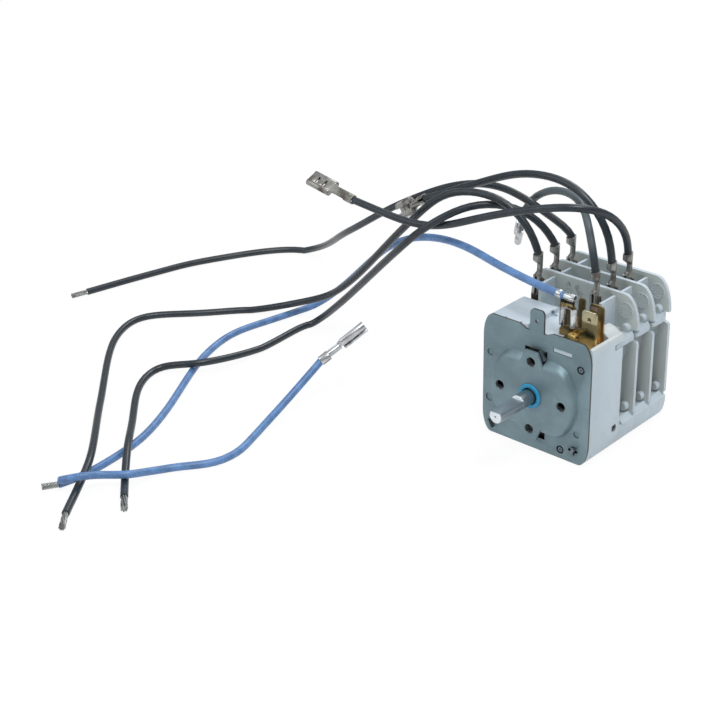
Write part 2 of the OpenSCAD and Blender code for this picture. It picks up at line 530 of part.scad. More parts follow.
// Followers: they ride on the cams and lift the contact leaves with their heads
follow_low = cam_high + 0.15;
head_z = rail_top + travel + 0.2;
head_top = head_z + 0.8;
leaf_z = head_top + 0.3;
module follower(k) {
    color([0.5, 0.34, 0.22]) {
        block([-cam_top_half, cam_top_half], [y0(k) + 2.8, y0(k) + 5.6], [follow_low, head_z + 0.1]);
        block([-cam_top_half - 1.2, cam_top_half + 1.2], [y0(k) + 2.8, y0(k) + 5.6], [head_z, head_top]);
    }
}
leaf_end = -left_x + 1.8;
rivet_x = -left_x + 3;
module contact_spring(k) {
    color([0.75, 0.52, 0.33]) {
        block([leaf_end, right_x + 3.4], [y0(k) + 2.9, y0(k) + 5.5], [leaf_z, leaf_z + leaf]);
        translate([rivet_x, y0(k) + 4.2, leaf_z + leaf - 0.05]) cylinder(r = 0.9, h = 0.6, $fn = 24);
    }
}
foot_z = leaf_z + leaf;
left_foot = foot_z + 1.1;
ear_z = 33.8;
module terminal_strip(x, k, low, left, right) {
    along = y0(k) + tab_y;
    along_y(along, tab) translate([x, 0]) polygon([[left, low], [right, low], [right, shelf_up - shelf - 0.2], [slot_high, shelf_up - shelf - 0.2], [slot_high, ear_z], [2, ear_z],
        [2, plug_z - 0.2], [1.4, plug_z - 0.2], [1.4, plug_z + 6.2], [1, plug_z + 6.8], [-1, plug_z + 6.8], [-1.4, plug_z + 6.2], [-1.4, plug_z - 0.2],
        [-slot_low, plug_z - 0.5], [-slot_low, shelf_up - shelf - 0.2], [left, shelf_up - shelf - 0.2]]);
}
module left_terminal(k) {
    color([0.46, 0.42, 0.38]) {
        terminal_strip(-left_x, k, left_foot, -0.6, 2);
        block([-left_x - 0.6, -left_x + 4.2], [y0(k) + 2.9, y0(k) + 5.5], [left_foot, left_foot + tab]);
        translate([rivet_x, y0(k) + 4.2, left_foot - 0.3]) cylinder(r = 0.9, h = 0.4, $fn = 24);
    }
}
module right_terminal(k) {
    color([0.46, 0.42, 0.38]) {
        terminal_strip(right_x, k, foot_z, -slot_low, 2.6);
        block([right_x - 3.4, right_x + 3.4], [y0(k) + 2.9, y0(k) + 5.5], [foot_z, foot_z + tab]);
    }
}

// Brass terminals in the open pocket
bracket_y = 8.2;
tab_l = 7;
blade = 6.3;
tab_r = pocket_wall - 0.4 - blade;
module blade_hole(x, z, y) { rod_y(x, z, 0.85, y - 1, tab + 2, 24); }
module neutral_bracket() {
    color([0.8, 0.62, 0.22]) difference() {
        union() {
            along_y(bracket_y, tab) polygon([[pocket_x + 0.4, pocket_z], [pocket_wall - 0.4, pocket_z], [pocket_wall - 0.4, 27], [tab_r + blade, 27.4], [tab_r + blade, 36.4], [tab_r + blade - 0.6, 37.2], [tab_r + 0.6, 37.2], [tab_r, 36.4],
                [tab_r, 30], [tab_l + blade, 29], [tab_l + blade, 36.2], [tab_l + blade - 0.8, 37], [tab_l + 0.8, 37], [tab_l, 36.2], [tab_l, 27.8], [tab_l - 0.6, 27], [tab_l - 0.6, step_up], [pocket_x + 0.4, step_up]]);
            block([pocket_x + 0.4, pocket_wall - 0.4], [bracket_y, bracket_y + 6.2], [pocket_z, pocket_z + tab]);
        }
        blade_hole(tab_r + blade / 2, 33.9, bracket_y);
        rod_y(tab_r - 1.6, 25.2, 0.7, bracket_y - 1, tab + 2, 20);
    }
}
module rear_brass_terminal() {
    color([0.68, 0.45, 0.2]) difference() {
        union() {
            along_y(bracket_y + 6.9, tab) polygon([[14.8, pocket_z], [20.9, pocket_z], [20.9, 35.4], [20.5, 36.4], [19.6, 36.9], [15.4, 36.9], [14.8, 36.3]]);
            block([10.6, 15], [bracket_y + 6.9, bracket_y + 7.7], [pocket_z, pocket_z + 4]);
            block([10.6, 13.4], [bracket_y + 6.3, bracket_y + 7.7], [pocket_z + 0.9, pocket_z + 4]);
            along_y(bracket_y + 5.5, tab + 0.1) polygon([[10.6, pocket_z + 0.9], [13.4, pocket_z + 0.9], [13.4, 37.6], [12.9, 38.4], [11.1, 38.4], [10.6, 37.6]]);
        }
    }
}
module spring_clip() {
    color([0.88, 0.72, 0.32]) difference() {
        union() {
            block([12, 15.2], [bracket_y - 2.6, bracket_y], [26.6, 27.2]);
            block([12, 15.2], [bracket_y - 2.6, bracket_y - 2], [24.4, 27.2]);
        }
        block([13, 14.2], [bracket_y - 1.7, bracket_y - 0.5], [26, 28]);
    }
}

// Push-on receptacle: mouth at z = 0, rolled edges over a flat tongue, then the wire and insulation crimps
module receptacle(w, d, slot, box, cond, ins, crimp_r, windows = false) {
    neck = 0.8;
    roll = d / 2;
    barrel = w * 0.19 + 0.15;
    difference() {
        union() {
            for (s = [-1, 1]) translate([s * (w / 2 - roll), 0, 0]) cylinder(r = roll, h = box, $fn = 24);
            block([roll - w / 2, w / 2 - roll], [-d / 2 + 0.05, roll - 0.15], [0, box]);
        }
        block([-w / 2 + 0.3, w / 2 - 0.3], [-slot / 2, slot / 2], [-1, box - 0.5]);
        block([-w * 0.14, w * 0.14], [-d, -slot / 2 + 0.1], [-1, box + 1]);
        if (windows) for (z = [3.4, 7]) block([-w * 0.26, w * 0.2], [0, d], [z, z + 0.9]);
    }
    translate([0, d * 0.12, 0]) rotate([90, 0, 0]) mirror([0, 0, 1]) linear_extrude(d * 0.3)
        polygon([[-w * 0.38, box - 0.3], [w * 0.38, box - 0.3], [barrel, box + neck * 2], [barrel, box + cond + neck * 2 + 0.1], [-barrel, box + cond + neck * 2 + 0.1], [-barrel, box + neck * 2]]);
    for (s = [-1, 1]) translate([s * barrel * 0.5, 0, box + neck]) cylinder(r = min(d * 0.4, crimp_r * 0.62), h = cond + neck + 0.1, $fn = 20);
    translate([0, 0, box + cond + neck * 2 - 0.1]) difference() {
        cylinder(r = crimp_r + 0.45, h = ins + 0.1, $fn = 32);
        translate([0, 0, 0.1]) cylinder(r = crimp_r, h = ins + 1, $fn = 32);
        rotate(-90) translate([0, 0, -1]) linear_extrude(ins + 2) polygon([[0.6, 0], [crimp_r + 1, -0.9], [crimp_r + 1, 0.9]]);
    }
}
small_box = 7.6;
small_cond = 5.4;
small_ins = 3.2;
small_top = plug_z + small_box + small_cond + 1.6 + small_ins;
plug_slot = tab + 0.1;
module plug(side, k) {
    color([0.6, 0.6, 0.58]) translate([terminal_x(side), y0(k) + tab_y + tab / 2, plug_z])
        receptacle(3.6, 2.1, plug_slot, small_box, small_cond, small_ins, wire_d / 2 + 0.02);
}
// Axis pointing from a receptacle's mouth back along its wire
function unit(v) = v / norm(v);
module aim(p, d) {
    u = unit(d);
    translate(p) rotate([0, acos(u[2]), atan2(u[1], u[0])]) children();
}
big_len = 22.4;
module loose_receptacle(tip, wire, turn) {
    color([0.66, 0.68, 0.68]) aim(tip, wire - tip) rotate(turn)
        receptacle(7.4, 2.8, 1, 11.5, 5.2, big_len - 11.5 - 5.2 - 1.6, wire_d / 2 + 0.02, true);
}
flag_y = bracket_y + tab / 2;
barrel_z = 40.4;
module flag_receptacle() {
    color([0.74, 0.76, 0.77]) {
        translate([tab_l + blade / 2, flag_y, 29]) difference() {
            union() {
                for (s = [-1, 1]) translate([s * 2.35, -0.4, 0]) cylinder(r = 1.25, h = 9.6, $fn = 28);
                block([-3.5, 3.5], [-0.6, 0.85], [0, 9.6]);
            }
            block([-3.2, 3.2], [-tab / 2 - 0.06, tab / 2 + 0.06], [-1, 8.9]);
            block([-1.1, 1.1], [-3, -tab / 2 + 0.1], [-1, 9]);
        }
        block([tab_l + 1.4, tab_l + 6], [flag_y - 0.7, flag_y + 0.7], [38.3, barrel_z]);
        translate([8.2, flag_y, barrel_z]) rotate([0, 90, 0]) difference() {
            cylinder(r = 1.7, h = 5.5, $fn = 28);
            translate([0, 0, 3.9]) cylinder(r = 1.15, h = 3, $fn = 24);
        }
        block([3.5, 9], [flag_y - 0.9, flag_y + 0.9], [barrel_z - wire_d / 2 - 0.4, barrel_z - wire_d / 2 - 0.05]);
        translate([3.4, flag_y, barrel_z]) rotate([0, 90, 0]) difference() {
            cylinder(r = wire_d / 2 + 0.4, h = 3.4, $fn = 28);
            translate([0, 0, -1]) cylinder(r = wire_d / 2 + 0.02, h = 6, $fn = 28);
        }
    }
}

// Wires: a round tube swept along hand-placed points that follow the wires' lie
lift = small_top - small_ins + 0.1;
function start(side, k) = [[terminal_x(side), y0(k) + tab_y + tab / 2, lift], [terminal_x(side), y0(k) + tab_y + tab / 2, small_top + 0.5]];
points_b = concat(start(-1, 1), [[-23, 27.5, 54], [-32, 26.5, 61], [-45, 25, 62.5], [-58.5, 23, 59.5], [-75.5, 22, 44], [-117, 30, 2.5], [-135, 33.5, -11],
    [-146, 30.5, -15.5], [-165.5, 22, -22], [-182.5, 3, -22], [-200.5, -16.5, -22], [-195, -34.5, -22], [-154, -79, -22], [-112.5, -120, -18], [-107.5, -130, -22], [-98, -143, -22]]);
points_c = concat(start(-1, 2), [[-22, 36.5, 51], [-28.5, 32.5, 57], [-38.5, 28, 58.5], [-46, 21, 58], [-59.5, 10.5, 48.5], [-73, 10, 35.5], [-118, 24, -6],
    [-137, 28.5, -22], [-137, -4.5, -22], [-142, -37.5, -18], [-158.5, -44, -22], [-153.5, -58, -22], [-127, -86, -20.5], [-110, -103, -17.5], [-101.5, -112, -22], [-90.5, -122, -22]]);
points_a = concat(start(-1, 3), [[-25.5, 48.5, 48.5], [-38, 48.5, 53], [-50, 48.5, 55.5], [-62.5, 48.5, 54.5], [-78, 48.5, 49.5], [-105, 49, 35], [-139.5, 55, 12],
    [-195, 83.5, -22], [-223.5, 44.5, -22], [-232, 17.5, -22], [-239.5, -14, -22]]);
points_f = concat(start(1, 1), [[5.5, 28.5, 53], [-1, 34, 60], [-11.5, 44, 62.5], [-22, 47, 62.5], [-34, 51, 57], [-43, 54, 50], [-46.5, 56, 43]]);
points_e = concat(start(1, 2), [[7, 38.5, 53.5], [0.5, 38, 62.5], [-10, 38.5, 69], [-25, 40, 69.5], [-40, 41.5, 66], [-57.5, 42, 58], [-84.5, 41, 45]]);
points_d = concat(start(1, 3), [[9.5, 46, 51.5], [9, 35, 63.5], [5, 23, 69], [-3.5, 20, 68], [-21, 19, 62.5], [-38, 17, 56], [-56.5, 16, 48], [-70, 15.5, 46], [-99, 14, 49]]);
points_1 = [[8, flag_y, barrel_z], [3.2, flag_y, barrel_z], [-24.5, 12, 42], [-42.5, 17, 42.5], [-62, 23, 39.5], [-81, 28, 33], [-96, 32, 24], [-146, 53.5, -18], [-148.5, 43, -22],
    [-153.5, 17.5, -22], [-157, -1, -22], [-151, -24.5, -22], [-125.5, -71.5, -22], [-117, -92.5, -22], [-113.8, -125, -22], [-115.8, -131.5, -22]];
points_2 = [[-113.5, -132.5, -19], [-105.5, -128.5, -16], [-105, -119, -19.5], [-97, -116, -18], [-95, -100.5, -22], [-83, -83.5, -22], [-82, -73, -22], [-88.5, -52, -21.5],
    [-89.5, -36.5, -16], [-89, -18.5, -7]];
tip_d = [-121, 13.2, 53.5];
tip_e = [-102.7, 46.3, 33.1];
tip_f = [-57, 67, 27];
tip_2 = [-80, -2, 5];

function side_of(t) = let (n = cross(t, abs(t[2]) > 0.9 ? [1, 0, 0] : [0, 0, 1])) n / norm(n);
function carry(n, t) = let (m = n - (n * t) * t) m / norm(m);
function heads(p) = [for (i = [0:len(p) - 1]) i == 0 ? unit(p[1] - p[0]) : i == len(p) - 1 ? unit(p[i] - p[i - 1]) : unit(unit(p[i + 1] - p[i]) + unit(p[i] - p[i - 1]))];
function sides(t, i) = i == 0 ? [side_of(t[0])] : let (before = sides(t, i - 1)) concat(before, [carry(before[i - 1], t[i])]);
module wire(points, r, n = 8) {
    t = heads(points);
    s = sides(t, len(points) - 1);
    rings = [for (i = [0:len(points) - 1]) let (u = s[i], v = cross(t[i], s[i])) for (j = [0:n - 1]) points[i] + r * (cos(360 * j / n) * u + sin(360 * j / n) * v)];
    last = (len(points) - 1) * n;
    polyhedron(rings, concat([[for (j = [0:n - 1]) j]], [[for (j = [n - 1:-1:0]) last + j]],
        [for (i = [0:len(points) - 2]) for (j = [0:n - 1]) let (a = i * n + j, b = i * n + (j + 1) % n) each [[a, a + n, b + n], [a, b + n, b]]]));
}
module black_wire(points) { color([0.17, 0.22, 0.26]) wire(points, wire_d / 2); }
module blue_wire(points) { color([0.35, 0.5, 0.75]) wire(points, wire_d / 2); }
// A bare twisted end, as a cluster of strands that meets the end of the insulation
module stripped_end(tip, from, splay) {
    color([0.5, 0.5, 0.48]) aim(tip, from - tip) {
        long = norm(from - tip) - 0.3;
        cylinder(r1 = 0.9, r2 = 1.1, h = long, $fn = 20);
        for (i = [0:2]) rotate(120 * i) translate([0.55, 0, 0]) cylinder(r = 0.6, h = long * splay, $fn = 16);
    }
}

front_plate();
shaft_bushing();
clock_housing();
movement_plate();
front_movement_plate();
housing_rivets();
mainspring();
balance_spring();
module_housing(1);  // module_housing_1
module_housing(2);  // module_housing_2
module_housing(3);  // module_housing_3
left_terminal(1);  // left_terminal_1
left_terminal(2);  // left_terminal_2
left_terminal(3);  // left_terminal_3
right_terminal(1);  // right_terminal_1
right_terminal(2);  // right_terminal_2
right_terminal(3);  // right_terminal_3
contact_spring(1);  // contact_spring_1
contact_spring(2);  // contact_spring_2
contact_spring(3);  // contact_spring_3
neutral_bracket();
rear_brass_terminal();
spring_clip();
control_shaft();
great_wheel();
cam(1);  // cam_1
cam(2);  // cam_2
cam(3);  // cam_3
second_wheel();
third_wheel();
escape_wheel();
pallet_lever();
balance_wheel();
follower(1);  // follower_1
follower(2);  // follower_2
follower(3);  // follower_3
black_wire(points_a);  // wire_a
black_wire(points_b);  // wire_b
black_wire(points_c);  // wire_c
black_wire(points_d);  // wire_d_loose
black_wire(points_e);  // wire_e
black_wire(points_f);  // wire_f
blue_wire(points_1);  // blue_wire_1
blue_wire(points_2);  // blue_wire_2
plug(-1, 1);  // plug_left_1
plug(-1, 2);  // plug_left_2
plug(-1, 3);  // plug_left_3
plug(1, 1);  // plug_right_1
plug(1, 2);  // plug_right_2
plug(1, 3);  // plug_right_3
flag_receptacle();
loose_receptacle(tip_d, points_d[len(points_d) - 1], 115);  // receptacle_d
loose_receptacle(tip_e, points_e[len(points_e) - 1], 3);  // receptacle_e
loose_receptacle(tip_f, points_f[len(points_f) - 1], 0);  // receptacle_f
loose_receptacle(tip_2, points_2[len(points_2) - 1], 144);  // receptacle_blue
stripped_end([-241.5, -21.5, -22], points_a[len(points_a) - 1], 0.6);  // stripped_end_a
stripped_end([-91.7, -149.9, -22], points_b[len(points_b) - 1], 0.6);  // stripped_end_b
stripped_end([-84.3, -127.4, -22], points_c[len(points_c) - 1], 0.8);  // stripped_end_c
stripped_end([-119.2, -136.8, -22], points_1[len(points_1) - 1], 0.7);  // stripped_end_blue
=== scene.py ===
"""Dresses a clockwork sauna timer switch: plate, stacked housings, brass terminals and loose wires."""

import math

import bpy
import bmesh
from mathutils import Matrix, Vector


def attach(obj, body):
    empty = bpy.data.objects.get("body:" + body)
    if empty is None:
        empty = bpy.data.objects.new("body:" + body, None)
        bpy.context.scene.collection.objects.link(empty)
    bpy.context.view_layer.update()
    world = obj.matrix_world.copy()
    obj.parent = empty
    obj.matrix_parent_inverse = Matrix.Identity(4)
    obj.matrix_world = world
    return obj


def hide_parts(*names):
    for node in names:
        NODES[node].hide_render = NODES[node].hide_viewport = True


bl_info = {
    "name": "Sauna Timer Switch",
    "version": (1, 0, 0),
    "blender": (4, 5, 0),
    "location": "3D View > Sidebar > Timer Switch",
    "description": "Builds the look of a clockwork timer switch over its solid model",
    "category": "Object",
}

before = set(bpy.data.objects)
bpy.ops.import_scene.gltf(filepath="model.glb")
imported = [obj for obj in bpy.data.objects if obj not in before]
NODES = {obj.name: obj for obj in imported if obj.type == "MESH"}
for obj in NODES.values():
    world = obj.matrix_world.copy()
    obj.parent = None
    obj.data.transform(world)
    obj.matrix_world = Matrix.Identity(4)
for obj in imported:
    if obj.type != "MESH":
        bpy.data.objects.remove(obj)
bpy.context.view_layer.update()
BODY = "switch"
MM = 0.001
FLOOR_Z = -23.5 * MM


# Sizes and colours a user would change


class TimerSwitchSizes(bpy.types.PropertyGroup):
    """Sizes of the details that are added to the solid model"""

    wire_diameter: bpy.props.FloatProperty(
        name="Wire diameter", description="Outer diameter of the insulated wires",
        default=3.0 * MM, unit="LENGTH"
    )
    moulded_edge: bpy.props.FloatProperty(
        name="Moulded edge", description="Rounding of the plastic housings' edges",
        default=0.22 * MM, unit="LENGTH"
    )
    sheet_edge: bpy.props.FloatProperty(
        name="Sheet edge", description="Rounding of the punched metal's edges",
        default=0.12 * MM, unit="LENGTH"
    )
    thread_pitch: bpy.props.FloatProperty(
        name="Thread pitch", description="Pitch of the thread in the four fixing holes",
        default=0.7 * MM, unit="LENGTH"
    )
    strand_diameter: bpy.props.FloatProperty(
        name="Strand diameter", description="Diameter of one bare strand",
        default=0.74 * MM, unit="LENGTH"
    )
    strands: bpy.props.IntProperty(
        name="Strands", description="Strands twisted round each bare wire end",
        default=7, min=4, max=12
    )


class TimerSwitchColours(bpy.types.PropertyGroup):
    """Main colours of the switch"""

    plate: bpy.props.FloatVectorProperty(
        name="Plate", description="Zinc plated steel",
        default=(0.185, 0.262, 0.295), subtype="COLOR"
    )
    housing: bpy.props.FloatVectorProperty(
        name="Housing", description="Pale moulded plastic",
        default=(0.470, 0.549, 0.612), subtype="COLOR"
    )
    bushing: bpy.props.FloatVectorProperty(
        name="Bushing", description="Blue plastic bushing",
        default=(0.012, 0.265, 0.48), subtype="COLOR"
    )
    # Its golden tone shows low down on the front terminals, as painted reflection of the floor
    brass: bpy.props.FloatVectorProperty(
        name="Brass", description="Bright brass terminals",
        default=(0.92, 0.60, 0.19), subtype="COLOR"
    )
    black_wire: bpy.props.FloatVectorProperty(
        name="Dark wire", description="Insulation of the six dark wires",
        default=(0.013, 0.021, 0.029), subtype="COLOR"
    )
    blue_wire: bpy.props.FloatVectorProperty(
        name="Blue wire", description="Insulation of the two blue wires",
        default=(0.085, 0.185, 0.385), subtype="COLOR"
    )


def sizes():
    """The sizes, as the user has set them"""
    return bpy.context.scene.timer_switch_sizes


def colours():
    """The colours, as the user has set them"""
    return bpy.context.scene.timer_switch_colours


# Shader maths on wrapped sockets


class Value:
    """A number or colour socket that Python's operators can work on"""

    def __init__(self, shader, socket):
        self.shader = shader
        self.socket = socket

    def math(self, operation, *others):
        inputs = dict(enumerate((self, *others)))
        node = self.shader.node("ShaderNodeMath", {"operation": operation}, inputs)
        return Value(self.shader, node.outputs[0])

    def __add__(self, other):
        return self.math("ADD", other)

    def __mul__(self, other):
        return self.math("MULTIPLY", other)

    def __sub__(self, other):
        return self.math("SUBTRACT", other)

    def __rsub__(self, other):
        node = self.shader.node("ShaderNodeMath", {"operation": "SUBTRACT"}, {0: other, 1: self})
        return Value(self.shader, node.outputs[0])

    def __abs__(self):
        return self.math("ABSOLUTE")

    __radd__ = __add__
    __rmul__ = __mul__

    def most(self, other):
        return self.math("MAXIMUM", other)

    def step(self, low, high):
        """Smooth mask that rises from 0 at low to 1 at high"""
        node = self.shader.node(
            "ShaderNodeMapRange",
            {"interpolation_type": "SMOOTHSTEP"},
            {"Value": self, "From Min": low, "From Max": high},
        )
        return Value(self.shader, node.outputs[0])


class Graph:
    """A node tree, with its nodes made by a single method"""

    def __init__(self, tree):
        self.tree = tree
        tree.nodes.clear()

    def node(self, kind, settings=None, inputs=None):
        """A node with its settings, and with values or links in its sockets"""
        made = self.tree.nodes.new(kind)
        for key, setting in (settings or {}).items():
            setattr(made, key, setting)
        for key, value in (inputs or {}).items():
            socket = made.inputs[key]
            source = value.socket if isinstance(value, Value) else value
            if isinstance(source, bpy.types.NodeSocket):
                self.tree.links.new(source, socket)
            elif hasattr(source, "__len__") and len(source) == 3 and socket.type == "RGBA":
                socket.default_value = (*source, 1.0)
            else:
                socket.default_value = source
        return made


class Finish(Graph):
    """One material, with the masks that it is painted through"""

    def __init__(self, name):
        self.material = bpy.data.materials.new(name)
        self.material.use_nodes = True
        super().__init__(self.material.node_tree)
        self.place = self.node("ShaderNodeTexCoord").outputs["Object"]
        split = self.node("ShaderNodeSeparateXYZ", {}, {0: self.place})
        self.x, self.y, self.z = (Value(self, out) for out in split.outputs)
        self.colour = None

    def noise(self, scale, detail=3.0, stretch=None, shift=0.0):
        """Noise between 0 and 1 on the object's own coordinates, stretched along the axes if asked"""
        spread = {"Location": (shift, shift * 1.7, shift * 0.6), "Scale": stretch or (1, 1, 1)}
        moved = self.node("ShaderNodeMapping", {}, {"Vector": self.place, **spread}).outputs[0]
        made = self.node("ShaderNodeTexNoise", {}, {"Vector": moved, "Scale": scale, "Detail": detail})
        return Value(self, made.outputs["Fac"])

    def stroke(self, start, end, width):
        """Mask of a worn pencil-like line between two points in X and Z"""
        run = math.dist(start, end)
        lean_x = (end[0] - start[0]) / run
        lean_z = (end[1] - start[1]) / run
        along_it = (self.x - start[0]) * lean_x + (self.z - start[1]) * lean_z
        off_it = abs((self.x - start[0]) * lean_z - (self.z - start[1]) * lean_x)
        ends = along_it.step(0.0, width * 2) * along_it.step(run, run - width * 2)
        worn = self.noise(2200.0, 2.0).step(0.35, 0.55)
        return off_it.step(width, width * 0.4) * ends * worn

    def spot(self, centre, radius):
        """Mask of a small round blot with a ragged edge"""
        away = self.node("ShaderNodeVectorMath", {"operation": "DISTANCE"}, {0: self.place, 1: centre})
        ragged = self.noise(1400.0, 3.0) * radius * 1.1
        return (Value(self, away.outputs["Value"]) + ragged).step(radius * 1.7, radius * 1.3)

    def facing_y(self):
        """How far the surface faces along Y, from -1 to 1"""
        geometry = self.node("ShaderNodeNewGeometry")
        split = self.node("ShaderNodeSeparateXYZ", {}, {0: geometry.outputs["True Normal"]})
        return Value(self, split.outputs[1])

    def blend(self, low, high, mask):
        """The first colour where the mask is 0, and the second where it is 1"""
        made = self.node("ShaderNodeMix", {"data_type": "RGBA"}, {0: mask, 6: low, 7: high})
        return Value(self, made.outputs[2])

    def paint(self, tone, mask):
        """Covers the finish's colour with a tone where the mask is 1"""
        self.colour = self.blend(self.colour, tone, mask)

    def surface(self, roughness, metallic=0.0, specular=0.5, *, height, depth):
        """The finished material, with bumps of a given depth"""
        bump = self.node("ShaderNodeBump", {}, {"Height": height, "Strength": 1.0, "Distance": depth})
        shader = self.node("ShaderNodeBsdfPrincipled", {}, {
            "Base Color": self.colour,
            "Roughness": roughness,
            "Metallic": metallic,
            "Specular IOR Level": specular,
            "Normal": bump.outputs[0],
        })
        self.node("ShaderNodeOutputMaterial", {}, {0: shader.outputs[0]})
        return self.material


def shade(colour, factor):
    """A colour made lighter or darker"""
    return tuple(min(1.0, channel * factor) for channel in colour)


# Fixing holes: their number, and the radius of the circle that they stand on
HOLES = 4
HOLE_CIRCLE = 14.0 * MM


def hole_centre(number, depth):
    """Point on the axis of a fixing hole, at a depth in Y"""
    angle = math.tau * number / HOLES
    return Vector((HOLE_CIRCLE * math.cos(angle), depth, HOLE_CIRCLE * math.sin(angle)))


# Scratches in the plate, as start and end in X and Z, width and strength
SCRATCHES = (
    ((0.0117, 0.0046), (0.0133, 0.0024), 0.00016, 0.6),
    ((0.0093, 0.0012), (0.0099, 0.0007), 0.00018, 0.6),
    ((-0.0060, 0.0105), (-0.0056, 0.0101), 0.00018, 0.5),
    ((0.0045, -0.0098), (0.0062, -0.0113), 0.00016, 0.35),
    ((0.0140, 0.0008), (0.0148, -0.0022), 0.00012, 0.3),
)


def zinc_plate():
    """Dull zinc plating with cloudy patches, rolling lines and a few scuffs, painted shade inside the fixing
    holes, and a dark rim that is partly cut edge and partly painted shade
    """
    f = Finish("zinc_plate")
    base = tuple(colours().plate)
    stained = (0.10, 0.115, 0.12)
    scratched = (0.05, 0.06, 0.065)
    cut_edge_and_gap_shade = (0.085, 0.08, 0.07)
    hole_shade = (0.03, 0.032, 0.034)
    cloud = f.noise(70.0, 4.0)
    grain = f.noise(900.0, 2.0, stretch=(1.0, 1.0, 0.06))
    scuff = f.noise(420.0, 2.0, stretch=(0.25, 1.0, 1.4), shift=3.0).step(0.66, 0.74)
    stain = f.noise(160.0, 5.0, shift=7.0).step(0.62, 0.78)
    f.colour = f.blend(shade(base, 0.86), shade(base, 1.16), cloud.step(0.3, 0.7))
    f.paint(shade(base, 1.5), scuff * 0.22)
    f.paint(stained, stain * 0.22)
    for start, end, width, strength in SCRATCHES:
        f.paint(scratched, f.stroke(start, end, width) * strength)
    sideways = (1.0 - abs(f.facing_y())).step(0.45, 0.75)
    # dark sideways rim of the plate: partly its cut edge, partly painted shade of the gap against the
    # housing
    f.paint(cut_edge_and_gap_shade, f.y.step(0.00325, 0.0034) * sideways)
    # painted shade on the walls inside the four fixing holes
    for number in range(HOLES):
        hole = f.spot(hole_centre(number, 0.0014), 0.0023)
        f.paint(hole_shade, hole * sideways * 0.9)
    rough = 0.46 + cloud * 0.12 + stain * 0.12
    return f.surface(rough, 0.58, height=grain * 0.6 + cloud * 0.4, depth=0.04 * MM)


# Dark blots on the clock housing, as centre and radius, partly painted shade in its side notches and round
# its pegs and partly dirt; the first two lie round its pegs
DIRT_AND_SHADE = (
    ((0.0200, 0.0042, 0.0158), 0.0021),
    ((0.0122, 0.0042, -0.0198), 0.0021),
    ((0.0236, 0.0192, 0.0207), 0.0012),
    ((0.0234, 0.0203, -0.0137), 0.0017),
    ((0.0243, 0.0203, -0.0135), 0.0007),
    ((0.0243, 0.0196, -0.0141), 0.0004),
    ((-0.0150, 0.0044, 0.0263), 0.0004),
    ((-0.0080, 0.0044, 0.0262), 0.0005),
    ((-0.0053, 0.0205, 0.0252), 0.0006),
    ((-0.0051, 0.0140, 0.0250), 0.0005),
)


def clock_plastic():
    """The clock housing's satin plastic, with flow marks, handling dirt, painted shade in its side notches
    and round its pegs, and a yellowed rim at its pocket
    """
    f = Finish("clock_plastic")
    base = tuple(colours().housing)
    dusty = (0.36, 0.37, 0.34)
    speckled = (0.18, 0.17, 0.15)
    cream = (0.60, 0.61, 0.56)
    shade_and_grime = (0.07, 0.055, 0.045)
    rubbed = (0.33, 0.31, 0.27)
    flow = f.noise(40.0, 3.0, stretch=(1.0, 1.0, 0.35))
    dust = f.noise(260.0, 5.0, shift=5.0)
    speck = f.noise(1500.0, 1.0, shift=1.0).step(0.73, 0.78)
    f.colour = f.blend(shade(base, 0.94), shade(base, 1.05), flow.step(0.3, 0.7))
    f.paint(dusty, dust.step(0.56, 0.8) * 0.22)
    f.paint(speckled, speck * 0.35)
    rim = f.z.step(0.0225, 0.0246) * f.x.step(0.0075, 0.0095)
    f.paint(cream, rim * 0.4)
    # dark blots: painted shade in the side notches and round the pegs, and dirt
    for centre, radius in DIRT_AND_SHADE:
        f.paint(shade_and_grime, f.spot(centre, radius) * 0.9)
    rub = f.noise(120.0, 3.0, stretch=(1.0, 0.4, 1.0), shift=11.0).step(0.6, 0.75)
    f.paint(rubbed, rub * f.z.step(-0.019, -0.0232) * 0.5)
    rough = 0.42 + dust * 0.16
    return f.surface(rough, height=dust * 0.5 + flow * 0.5, depth=0.05 * MM, specular=0.45)


# Scuffs on the first module's wall, as start and end in X and Z, width and strength
SCUFFS = (
    ((-0.0072, 0.0335), (-0.0058, 0.0308), 0.00042, 1.0),
    ((-0.0042, 0.0318), (-0.0016, 0.0290), 0.00026, 0.7),
    ((-0.0036, 0.0312), (-0.0024, 0.0288), 0.00026, 0.6),
    ((-0.0084, 0.0303), (-0.0051, 0.0300), 0.00026, 0.6),
    ((-0.0060, 0.0308), (-0.0048, 0.0290), 0.00024, 0.5),
)
# Smudges beside the scuffs, as centre, radius and strength
SMUDGES = (
    ((-0.0030, 0.0325, 0.0318), 0.0011, 0.5),
    ((-0.0018, 0.0325, 0.0296), 0.0014, 0.35),
    ((-0.0075, 0.0325, 0.0318), 0.0009, 0.3),
)


